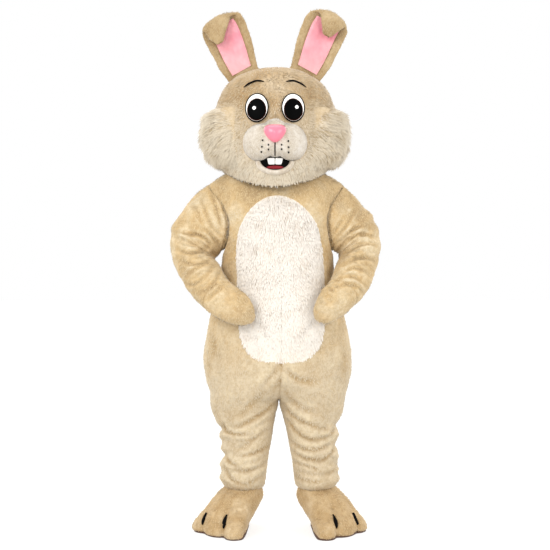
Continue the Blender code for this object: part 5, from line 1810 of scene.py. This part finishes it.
def make_ear(ear):
    """An ear, its lining and the ear's skin."""
    side, sign = ear["side"], SIDES[ear["side"]]
    turns = 2 * np.pi * np.arange(72) / 72
    along = np.concatenate([np.linspace(EAR_FOOT, 0.372, 84), [0.377, 0.380]])
    rows = ear_point(ear, along, turns)
    last = rows[-1].mean(0)
    rows = np.concatenate([rows, [last + (rows[-1] - last) * share for share in (0.6, 0.0)]])
    skin = one_piece(rows, "ear", sign < 0, closed=True)
    first, second = LINING_TURN
    edge_along = np.linspace(*LINING_ALONG, 40)
    sides_of_lining = [ear_point(ear, edge_along, np.array([turn]))[:, 0] for turn in LINING_TURN]
    seam = seam_pull(skin, sides_of_lining, 0.004, 0.006)
    soft = relief(skin.points, 0.05, 0.003, 9.0) + relief(skin.points, 0.02, 0.0012, 1.0)
    raise_cloth(skin, seam + soft, -0.0015)
    made = wear(cloth(skin, "ear", f"ear_{side}_plush", EAR_SHADED_PLUSH), "head_fur", f"ear_{side}")
    turns = np.linspace(first, second, 48)
    along = np.linspace(LINING_ALONG[0], ear["fold_start"], 96)
    across = (turns - first) / (second - first)
    edge = np.minimum(across, 1 - across)

    def rippled(fine_across, fine_along, layer):
        """Ripples of the satin over the lining's rows and columns."""
        down = along / 0.05
        return np.array(
            [[noise.noise(Vector((a * fine_across, b * fine_along, layer))) for a in across] for b in down]
        )

    puckers = 0.0016 * rippled(26, 5.5, sign * 3) * eased(edge * 3)
    lift = 0.0045 * (1 - eased(edge * 10)) + puckers + 0.0022 * rippled(7, 2.2, sign * 8) + 0.0010
    lining = one_piece(ear_point(ear, along, turns, lift), "lining", sign < 0)
    made_lining = cloth(lining, "lining", f"ear_lining_{side}_satin", SATIN)
    return made, wear(made_lining, "pink_satin", f"ear_lining_{side}"), skin


EAR_MADE = {ear["side"]: make_ear(ear) for ear in EARS}
print(faces_of([lining for _, lining, _ in EAR_MADE.values()]), "faces in the ears' linings")

# %% [markdown]
# ## The cheeks
# The ruffs are long pile sewn to the sides of the head from beside the muzzle to behind the ear. Under the
# locks lies a soft swelling of dense underfur, which shows as shade between them.

# %% Underfur of the cheeks
CHEEK_PLACES = (6.0, 11.0)
CHEEK_TURNS = (math.radians(38.6), math.radians(115.7))
CHEEK_DEPTH = table("""
height/mm depth/mm
1470 18
1490 24
1520 36
1560 55
1620 62
1680 52
1730 50
1770 16
""")
UNDERFUR = 0.70
RUFF_MIDDLE = 1.635


def make_cheek(side):
    """The underfur of a ruff, full in the middle and thin at its edges, and its skin."""
    sign = SIDES[side]
    places = np.linspace(*CHEEK_PLACES, 64)
    angles = sign * np.linspace(*CHEEK_TURNS, 72)
    base = head_point(places, angles)
    normal = np.array([[bare_head.find_nearest(Vector(p))[1] for p in row] for row in base.tolist()])
    along, across = np.linspace(0, 1, 64)[:, None], np.linspace(0, 1, 72)[None]
    inward = 1 - eased(np.minimum(across, 1 - across) * 2.8)
    corner = 1 - eased(np.minimum(along, 1 - along) * 7)
    depth = reader(CHEEK_DEPTH, "height", "depth")(base[:, :, 2]) * inward * (0.25 + 0.75 * corner)
    behind = np.maximum(2 * across - 1, 0)
    above = np.maximum(base[:, :, 2] - RUFF_MIDDLE, 0) / 0.14
    depth = depth * (1 - eased((1.35 - np.hypot(behind, above)) / 0.6))
    skin = one_piece(base + normal * (UNDERFUR * depth[:, :, None] - 0.002), "cheek", sign < 0)
    made = cloth(skin, "cheek", f"cheek_{side}_underfur", CHEEK_UNDER)
    return wear(made, "cream_fur", f"cheek_{side}"), skin


CHEEKS = {side: make_cheek(side) for side in SIDES}
print(faces_of([made for made, _ in CHEEKS.values()]), "faces in the cheeks' underfur")

# %% [markdown]
# ## Pile and locks
# A lock of pile is a closed blade with three sides that bends once. It is dark at its root, where the others
# shade it, and pale at its tip. Roots are strewn by area, so that the pile is as dense on a steep side as on
# a flat one.

# %% How locks are made


def strew(skin, piece, density):
    """Places, normals and lift for roots on a piece of a skin; density per square metre, one or one a face."""
    faces = skin.faces[np.isin(skin.pieces, piece)]
    a, b, c, d = (skin.points[faces[:, n]] for n in range(4))
    area = np.linalg.norm(np.cross(c - a, d - b), axis=1) / 2
    if callable(density):
        density = density((a + b + c + d) / 4)
    count = np.floor(area * density + CHANCE.random(len(faces))).astype(int)
    chosen = faces[np.repeat(np.arange(len(faces)), count)]
    u, v = CHANCE.random((2, len(chosen), 1))
    shares = ((1 - u) * (1 - v), u * (1 - v), u * v, (1 - u) * v)
    place = sum(share * skin.points[chosen[:, n]] for n, share in enumerate(shares))
    normal = sum(share * skin.normals[chosen[:, n]] for n, share in enumerate(shares))
    lift = sum(share[:, 0] * skin.lift[chosen[:, n]] for n, share in enumerate(shares))
    return place, normal / np.linalg.norm(normal, axis=1)[:, None], lift


def unit(vectors):
    """Vectors of length 1."""
    return vectors / np.maximum(np.linalg.norm(vectors, axis=1), 1e-9)[:, None]


def spread(count, low, high):
    """Random lengths between two values, as a column."""
    return low + (high - low) * CHANCE.random((count, 1))


def clumps(place, fineness):
    """A slowly changing vector at each place, which lets the hairs of a clump lie alike."""
    return np.array([noise.noise_vector(Vector(p) * fineness) for p in place.tolist()])


def comb(normal, toward, amount):
    """Direction of pile that stands on a surface and is combed towards a vector, with some disorder."""
    toward = np.broadcast_to(np.asarray(toward, float), normal.shape)
    flat = toward - (toward * normal).sum(1)[:, None] * normal
    return unit(normal + amount * flat + CHANCE.normal(0, 0.16, normal.shape))


BLADE_ROUND = 0.7
ROOT_SUNK = 0.001


def locks(name, place, first, second, normal, length, width, material, slot, shade=None, bent=True):
    """Closed blades from place, first along one direction and then, if they bend, along a second."""
    count = len(place)
    side = unit(np.cross(first, normal) + CHANCE.normal(0, 0.15, normal.shape))
    out = unit(np.cross(side, first))
    corners = (-0.5 * side - 0.12 * out, 0.5 * side - 0.12 * out, 0.24 * out)
    root = [place + width * corner for corner in corners]
    if bent:
        middle = place + first * length * 0.5
        rings = root + [middle + 0.85 * width * corner for corner in corners]
        rings.append(middle + second * length * 0.5)
        along = [0.0] * 3 + [0.5] * 3 + [1.0]
        faces = [(0, 1, 2)]
        for here, after in ((0, 1), (1, 2), (2, 0)):
            faces += [(here, after + 3, after), (here, here + 3, after + 3), (here + 3, 6, after + 3)]
    else:
        rings = root + [place + first * length]
        along = [0.0] * 3 + [1.0]
        faces = [(0, 1, 2), (0, 3, 1), (1, 3, 2), (2, 3, 0)]
    points = np.stack(rings, axis=1).reshape(-1, 3)
    start = np.arange(count)[:, None, None] * len(rings)
    triangles = (start + np.array(faces)[None]).reshape(-1, 3)
    if shade is None:
        shade = CHANCE.random(count)
    along, shade = np.tile(along, count), np.repeat(shade, len(rings))
    made = mesh_object(name, points, triangles, material, along=along, shade=shade)
    facing = [unit(normal + BLADE_ROUND * corner) for corner in corners]
    facing = np.stack((facing * len(rings))[: len(rings) - 1] + [normal], axis=1).reshape(-1, 3)
    made.data.normals_split_custom_set_from_vertices(facing.tolist())
    return wear(made, slot)


# %% [markdown]
# The cheeks' locks start beside the muzzle and are brushed out and back, up at the top and down at the jaw.
# The upper ones lie over the lower ones.

# %% Locks of the cheeks
CHEEK_LOCKS = 62000
RUFF_TOP = 1.712
RUFF_EDGE = (
    (1.400, 1.487, 1.547, 1.651, 1.700, 1.745, 1.800),
    (0.060, 0.126, 0.136, 0.155, 0.190, 0.236, 0.300),
)
RUFF_FADE = 0.060


def ruff_share(place, sign):
    """0 on the short pile of the head, growing to 1 within a ruff."""
    edge = np.interp(place[:, 2], *RUFF_EDGE)
    ahead = 1 - eased((sign * place[:, 0] - edge + 0.008) / RUFF_FADE)
    middle, half = sum(CHEEK_TURNS) / 2, (CHEEK_TURNS[1] - CHEEK_TURNS[0]) / 2
    behind = np.maximum(np.arctan2(sign * place[:, 0], -place[:, 1]) - middle, 0) / half
    above = np.maximum(place[:, 2] - RUFF_MIDDLE, 0) / 0.12
    return ahead * (1 - eased((1.08 - np.hypot(behind**1.5, above**1.5) ** (1 / 1.5)) / 0.42))


def ruff(name, side, place, normal, first, second, length, clump, share):
    """Locks of a ruff, cream where it is full and head-coloured among the short ones."""
    width = spread(len(place), 0.0028, 0.0052)
    shade = np.clip(0.55 + clump[:, 0] * 0.6 + CHANCE.normal(0, 0.2, len(place)), 0, 1)
    cream = CHANCE.random(len(place)) < np.where(place[:, 2] < 1.50, 1.0, share * 1.6)
    made = []
    for end, material, keep in (("locks", CHEEK_FUR, cream), ("pile", HEAD_FUR, ~cream)):
        parts = [values[keep] for values in (place, first, second, normal, length, width)]
        made.append(locks(f"{name}_{side}_{end}", *parts, material, "cream_fur", shade[keep]))
    return made


def cheek_locks(side):
    """The long locks of a ruff."""
    sign = SIDES[side]
    skin = CHEEKS[side][1]
    place, normal, _ = strew(skin, "cheek", CHEEK_LOCKS)
    share = ruff_share(place, sign)
    full = share[:, None]
    rise = (place[:, 2] - RUFF_MIDDLE) / 0.13
    jaw = eased((place[:, 2] - 1.47) / 0.08)
    toward = np.stack([(0.75 - 1.3 * jaw) * sign, 0.55 + 0 * rise, 0.55 * rise - 0.25 - 0.8 * jaw], axis=-1)
    clump = clumps(place, 26)
    first = comb(normal, toward + 0.8 * clump, 1.6 - 0.1 * full)
    second = comb(normal, toward + 0.8 * clump + (0, 0, -0.35), 2.8)
    low = 1 - 0.45 * eased((place[:, 2:] - 1.47) / 0.06)
    crown = 1 - 0.45 * eased((1.745 - place[:, 2:]) / 0.06)
    length = spread(len(place), 0.030, 0.050) * (0.28 + 0.72 * full) * low * crown
    return ruff("cheek", side, place - normal * 0.004, normal, first, second, length, clump, share)


CHEEK_LOCK_PIECES = {side: cheek_locks(side) for side in SIDES}
# %% [markdown]
# Round a ruff the head carries locks that grow fewer and shorter away from it, so it has no hard edge.

# %% Locks round the cheeks
BLEND = 0.034


def blend_locks(side):
    """Shorter locks on the head round a ruff, fewer and shorter away from it, that hide its edge."""
    sign = SIDES[side]
    place, normal, _ = strew(head, ["head_front", "head_back"], CHEEK_LOCKS * 0.8)
    turn = np.arctan2(sign * place[:, 0], -place[:, 1])
    low, high = CHEEK_TURNS
    dip = np.where(np.cos(turn) > 0, 0.067, 0.015) * np.cos(turn) ** 2
    away = np.hypot(
        np.maximum(np.maximum(low + 0.02 - turn, turn - high + 0.02), 0) * 0.25,
        np.maximum(place[:, 2] - RUFF_TOP, 0) + np.maximum(1.50 - dip - place[:, 2], 0) * 0.5,
    )
    keep = (CHANCE.random(len(place)) > away / BLEND) & (sign * place[:, 0] > 0) & (place[:, 2] > 1.38)
    keep &= (away > 0) & (normal[:, 2] > -0.9)
    place, normal, away = place[keep], normal[keep], away[keep, None] / BLEND
    share = ruff_share(place, sign) * np.where(place[:, 2] > RUFF_TOP, 0.6, 1.0)
    full = share[:, None]
    rise = (place[:, 2] - RUFF_MIDDLE) / 0.13
    toward = np.stack([0.75 * sign + 0 * rise, 0.45 + 0 * rise, 0.7 * rise - 0.25], axis=-1)
    clump = clumps(place, 26)
    first = comb(normal, toward + 0.5 * clump, 1.8)
    second = comb(normal, toward + 0.5 * clump, 2.8)
    length = 0.013 + 0.013 * (1 - away) * full * spread(len(place), 0.7, 1.2)
    length = length * np.where(place[:, 2:] < 1.50, 0.8, 1.0)
    return ruff("cheek_edge", side, place, normal, first, second, length, clump, share)


EDGE_LOCK_PIECES = {side: blend_locks(side) for side in SIDES}
for side in SIDES:
    print(faces_of(CHEEK_LOCK_PIECES[side] + EDGE_LOCK_PIECES[side]), "faces in the locks of the", side, "ruff")

# %% [markdown]
# The belly's pile is brushed down and a little outward, so at the edge of the panel it laps over the suit.

# %% Locks of the belly
BELLY_LOCKS = 48000


def belly_locks(side):
    """The long pile of one half of the belly."""
    place, normal, lift = strew(suit, [f"belly_{side}"], BELLY_LOCKS)
    middle = np.stack([place[:, 0] - 0.012, 0 * lift, place[:, 2] - 1.10], axis=-1)
    clump = clumps(place, 24)
    toward = 1.6 * middle * (1, 0, 0.5) + (0, 0, -0.75) + 0.12 * clump
    first = comb(normal, toward, 3.2)
    second = comb(normal, toward + (0, 0, -0.3), 5.0)
    low = 1 - 0.5 * eased((place[:, 2:] - 0.70) / 0.09)
    length = spread(len(place), 0.015, 0.023) * low
    width = spread(len(place), 0.0044, 0.0068)
    shade = np.clip(0.6 + clump[:, 1] * 0.4 + CHANCE.normal(0, 0.15, len(place)), 0, 1)
    name, place = f"belly_{side}_locks", place - normal * ROOT_SUNK
    return locks(name, place, first, second, normal, length, width, BELLY_FUR, "white_pelt", shade)


BELLY_PILE = {side: belly_locks(side) for side in SIDES}
print(faces_of(BELLY_PILE.values()), "faces in the belly's locks")

# %% [markdown]
# The head's pile lies down and outward from the crown; at the chin it is longer and paler.

# %% Pile of the head, muzzle and ears
HEAD_LOCKS = 17000
CHIN_FROM = 1.535
BROW_LINE = tuple(zip(*sorted((row["x"], row["z"]) for row in BROWS)))


def head_locks(piece):
    """The pile of half the head, bare under the face's plates."""
    place, normal, _ = strew(head, [piece], HEAD_LOCKS)
    front = piece == "head_front"
    covered = np.zeros(len(place), bool)
    if front:
        for number, point in enumerate(place.tolist()):
            x, z = point[0], point[2]
            eye = min(math.hypot((x - s * EYE["x"]) / 0.052, (z - EYE["z"]) / 0.063) for s in (1, -1))
            mouth = math.hypot(x / 0.072, (z - MOUTH["z"]) / 0.052)
            over_brow = z - np.interp(abs(x), *BROW_LINE)
            brow = 0.038 < abs(x) < 0.131 and -0.004 < over_brow < 0.012
            covered[number] = not beside_muzzle(x, z) or eye < 1 or mouth < 1 or brow
    keep = ~covered & (place[:, 2] > 1.40) & (normal[:, 2] > -0.8)
    place, normal = place[keep], normal[keep]
    chin = np.clip((CHIN_FROM - place[:, 2:]) / 0.05, 0, 1) * (1.0 if front else 0.3)
    crown = eased((0.95 - normal[:, 2:]) / 0.4)
    outward = np.stack([place[:, 0] * 2.2, 0.9 * crown[:, 0], -0.75 + 0 * place[:, 2]], axis=-1)
    clump = clumps(place, 22)
    first = comb(normal, outward + 0.45 * clump, 1.5)
    second = comb(normal, outward + 0.45 * clump, 3.0)
    length = spread(len(place), 0.009, 0.013) * (1 + 0.25 * chin) * (1 - 0.45 * crown)
    width = spread(len(place), 0.0035, 0.0060)
    shade = np.clip(0.6 + clump[:, 0] * 0.7 + CHANCE.normal(0, 0.2, len(place)) + 0.25 * chin[:, 0], 0, 1)
    name, place = f"{piece}_pile", place - normal * ROOT_SUNK
    return locks(name, place, first, second, normal, length, width, HEAD_FUR, "head_fur", shade)


head_pile = [head_locks(piece) for piece in HEAD_PIECES]


# %% [markdown]
# Short pile is made of straight tufts. None grow under the nose, on the thread below it or on the linings.

# %% Short pile of the muzzle and the ears


def short_pile(name, skin, pieces, density, toward, length, width, material, slot):
    """Short upright tufts over pieces of a skin."""
    place, normal, lift = strew(skin, pieces, density)
    clump = clumps(place, 18)
    first = comb(normal, np.asarray(toward, float) + 0.5 * clump, 3.2)
    tall = spread(len(place), *length)
    # Each tuft is paler on the ridges of creases and darker in their troughs: painted highlight and painted
    # shade.
    shade = np.clip(0.6 + clump[:, 0] * 0.6 + 0.25 * lift + CHANCE.normal(0, 0.15, len(place)), 0, 1)
    place, wide = place - normal * ROOT_SUNK, spread(len(place), *width)
    return locks(name, place, first, first, normal, tall, wide, material, slot, shade, False)


LOWEST = 0.013


def clear_of(points, away, density):
    """Density of pile that is none nearer than away to any of the points, and none down at the floor."""
    tree = tree_of(points)

    def at(places):
        bare = [place[2] < LOWEST or tree.find(place)[2] < away for place in places.tolist()]
        return np.where(bare, 0.0, density)

    return at


def muzzle_density(places):
    """No tufts under the nose, nor on the thread below it."""
    out = []
    for x, _, z in places.tolist():
        x, z = x - NOSE_CENTRE[0], z - NOSE_CENTRE[1]
        bare = math.hypot(x, z) < nose_radius(math.atan2(z, x)) + 0.002 or abs(x) < 0.0042 and z < 0
        out.append(0.0 if bare else 60000.0)
    return np.array(out)


for side, (_, lining, skin) in EAR_MADE.items():
    clear = clear_of([vertex.co for vertex in lining.data.vertices], 0.009, 24000.0)
    sizes = (0.006, 0.010), (0.0030, 0.0050)
    head_pile.append(
        short_pile(f"ear_{side}_pile", skin, ["ear"], clear, (0, 0, 0.6), *sizes, EAR_SHADED_FUR, "head_fur")
    )
sizes = (0.004, 0.007), (0.0024, 0.0040)
down = (0, 0, -0.6)
head_pile.append(
    short_pile("muzzle_pile", muzzle, ["muzzle_fur"], muzzle_density, down, *sizes, MUZZLE_FUR, "head_fur")
)
print(faces_of(head_pile), "faces in the pile of head, ears and muzzle")

# %% [markdown]
# The suit, the mitts and the feet have the shortest pile, combed down.

# %% Pile of the suit
SUIT_TUFTS = 13000


def short_suit_pile(name, skin, density=SUIT_TUFTS, piece=None, material=SUIT_FUR):
    """The pile of a piece of the suit, combed down."""
    down, sizes = (0, 0, -0.9), ((0.0075, 0.0115), (0.0045, 0.0070))
    made = short_pile(f"{name}_pile", skin, [piece or name], density, down, *sizes, material, "tan_plush")
    return made


for side in SIDES:
    for half in ("front", "back"):
        short_suit_pile(f"suit_{half}_{side}", suit)
    for half in ("sleeve", "mitt"):
        short_suit_pile(f"{half}_{side}", ARM_SKINS[side])
    felt = [vertex.co for made in SLIT_MADE[side] for vertex in made.data.vertices]
    clear = clear_of(felt, 0.0095, SUIT_TUFTS)
    short_suit_pile(f"foot_{side}", FEET[side][1], clear, "foot", FOOT_FUR)

# %% [markdown]
# Along the armhole seams the pile of both cloths is brushed over the stitches.

# %% Pile over the armhole seams
SEAM_TUFTS = 1600
SEAM_HEIGHTS = (1.20, 1.36)
suit_tree = suit.tree()


def seam_pile(side):
    """Tufts along the armhole seam, where the pile of both cloths is brushed over the stitches."""
    ring = armhole_ring(side, CHANCE.uniform(0, CORNERS_AROUND, SEAM_TUFTS))
    ring = ring[(ring[:, 2] > SEAM_HEIGHTS[0]) & (ring[:, 2] < SEAM_HEIGHTS[1])]
    found = [suit_tree.find_nearest(Vector(point)) for point in ring.tolist()]
    place = np.array([point for point, _, _, _ in found]) + CHANCE.normal(0, 0.003, ring.shape)
    normal = np.array([normal for _, normal, _, _ in found])
    clump = clumps(place, 18)
    first = comb(normal, clump + (0, 0, -0.9), 2.2)
    size = spread(len(ring), 0.006, 0.010), spread(len(ring), 0.0040, 0.0065)
    shade, name = CHANCE.random(len(ring)), f"armhole_{side}_pile"
    return locks(name, place, first, first, normal, *size, SUIT_FUR, "tan_plush", shade, False)


for side in SIDES:
    seam_pile(side)
triangles = {}
for made in bpy.data.objects:
    if made.type == "MESH":
        triangles[made.name] = sum(len(face.vertices) - 2 for face in made.data.polygons)
most = max(triangles, key=triangles.get)
print(sum(triangles.values()), "triangles in all, the most in one:", most, triangles[most])

# %% [markdown]
# A plain strip of the same plush covers the opening down the back. It is sewn on at one edge and lies flat.

# %% Fly over the back opening
FLY = {"top": 1.410, "bottom": 0.800, "half_width": 0.024, "rise": 0.006}


def make_fly():
    """The fly, laid on the back of the suit, and its skin."""
    rows = []
    for height in np.linspace(FLY["bottom"], FLY["top"], 90):
        middle = suit_point("left", np.array([height]), np.array([2.0]))[0]
        row = []
        for number, share in enumerate(np.concatenate([[-1], np.linspace(-1, 1, 11), [1]])):
            x = middle[0] + share * FLY["half_width"]
            back = suit_tree.ray_cast(Vector((x, 1.0, height)), BEHIND)[0].y
            up = FLY["rise"] * (1 - 0.45 * abs(share) ** 6) if 0 < number < 12 else -0.002
            row.append((x, back + up, height))
        rows.append(row)
    skin = one_piece(rows, "fly")
    raise_cloth(skin, relief(skin.points, 0.05, 0.0015, 3.0))
    return wear(cloth(skin, "fly", "back_fly_plush", PLUSH), "tan_plush", "back_fly"), skin


fly, fly_skin = make_fly()
fly_pile = short_suit_pile("back_fly", fly_skin, SUIT_TUFTS, "fly")
for made in (*SUIT_PIECES.values(), fly):
    area = sum(face.area for face in made.data.polygons)
    print(made.name, round(area, 3), "square metres,", [round(value, 3) for value in made.dimensions])

# %% [markdown]
# ## The cut of the cloth
# Each panel was flat before it was sewn. These are the sizes of the cut, in metres, each with its area, because
# none but the fly is a rectangle. Sleeves and mitts are cut all round.

# %% The cut
CUT = table("""
name/word width length area held/word
suit_front_left  0.43 1.49 0.355 hung
suit_front_right 0.43 1.46 0.374 hung
suit_back_left   0.43 1.49 0.465 hung
suit_back_right  0.45 1.49 0.482 hung
belly_left       0.19 0.67  0.11 stretched
belly_right      0.19 0.67 0.108 stretched
sleeve_left      0.51  0.6 0.272 hung
sleeve_right     0.54 0.62 0.304 hung
mitt_left        0.35 0.18 0.053 hung
mitt_right       0.38 0.19  0.06 hung
""")
for row in CUT:
    name = row["name"]
    side = name.split("_")[-1]
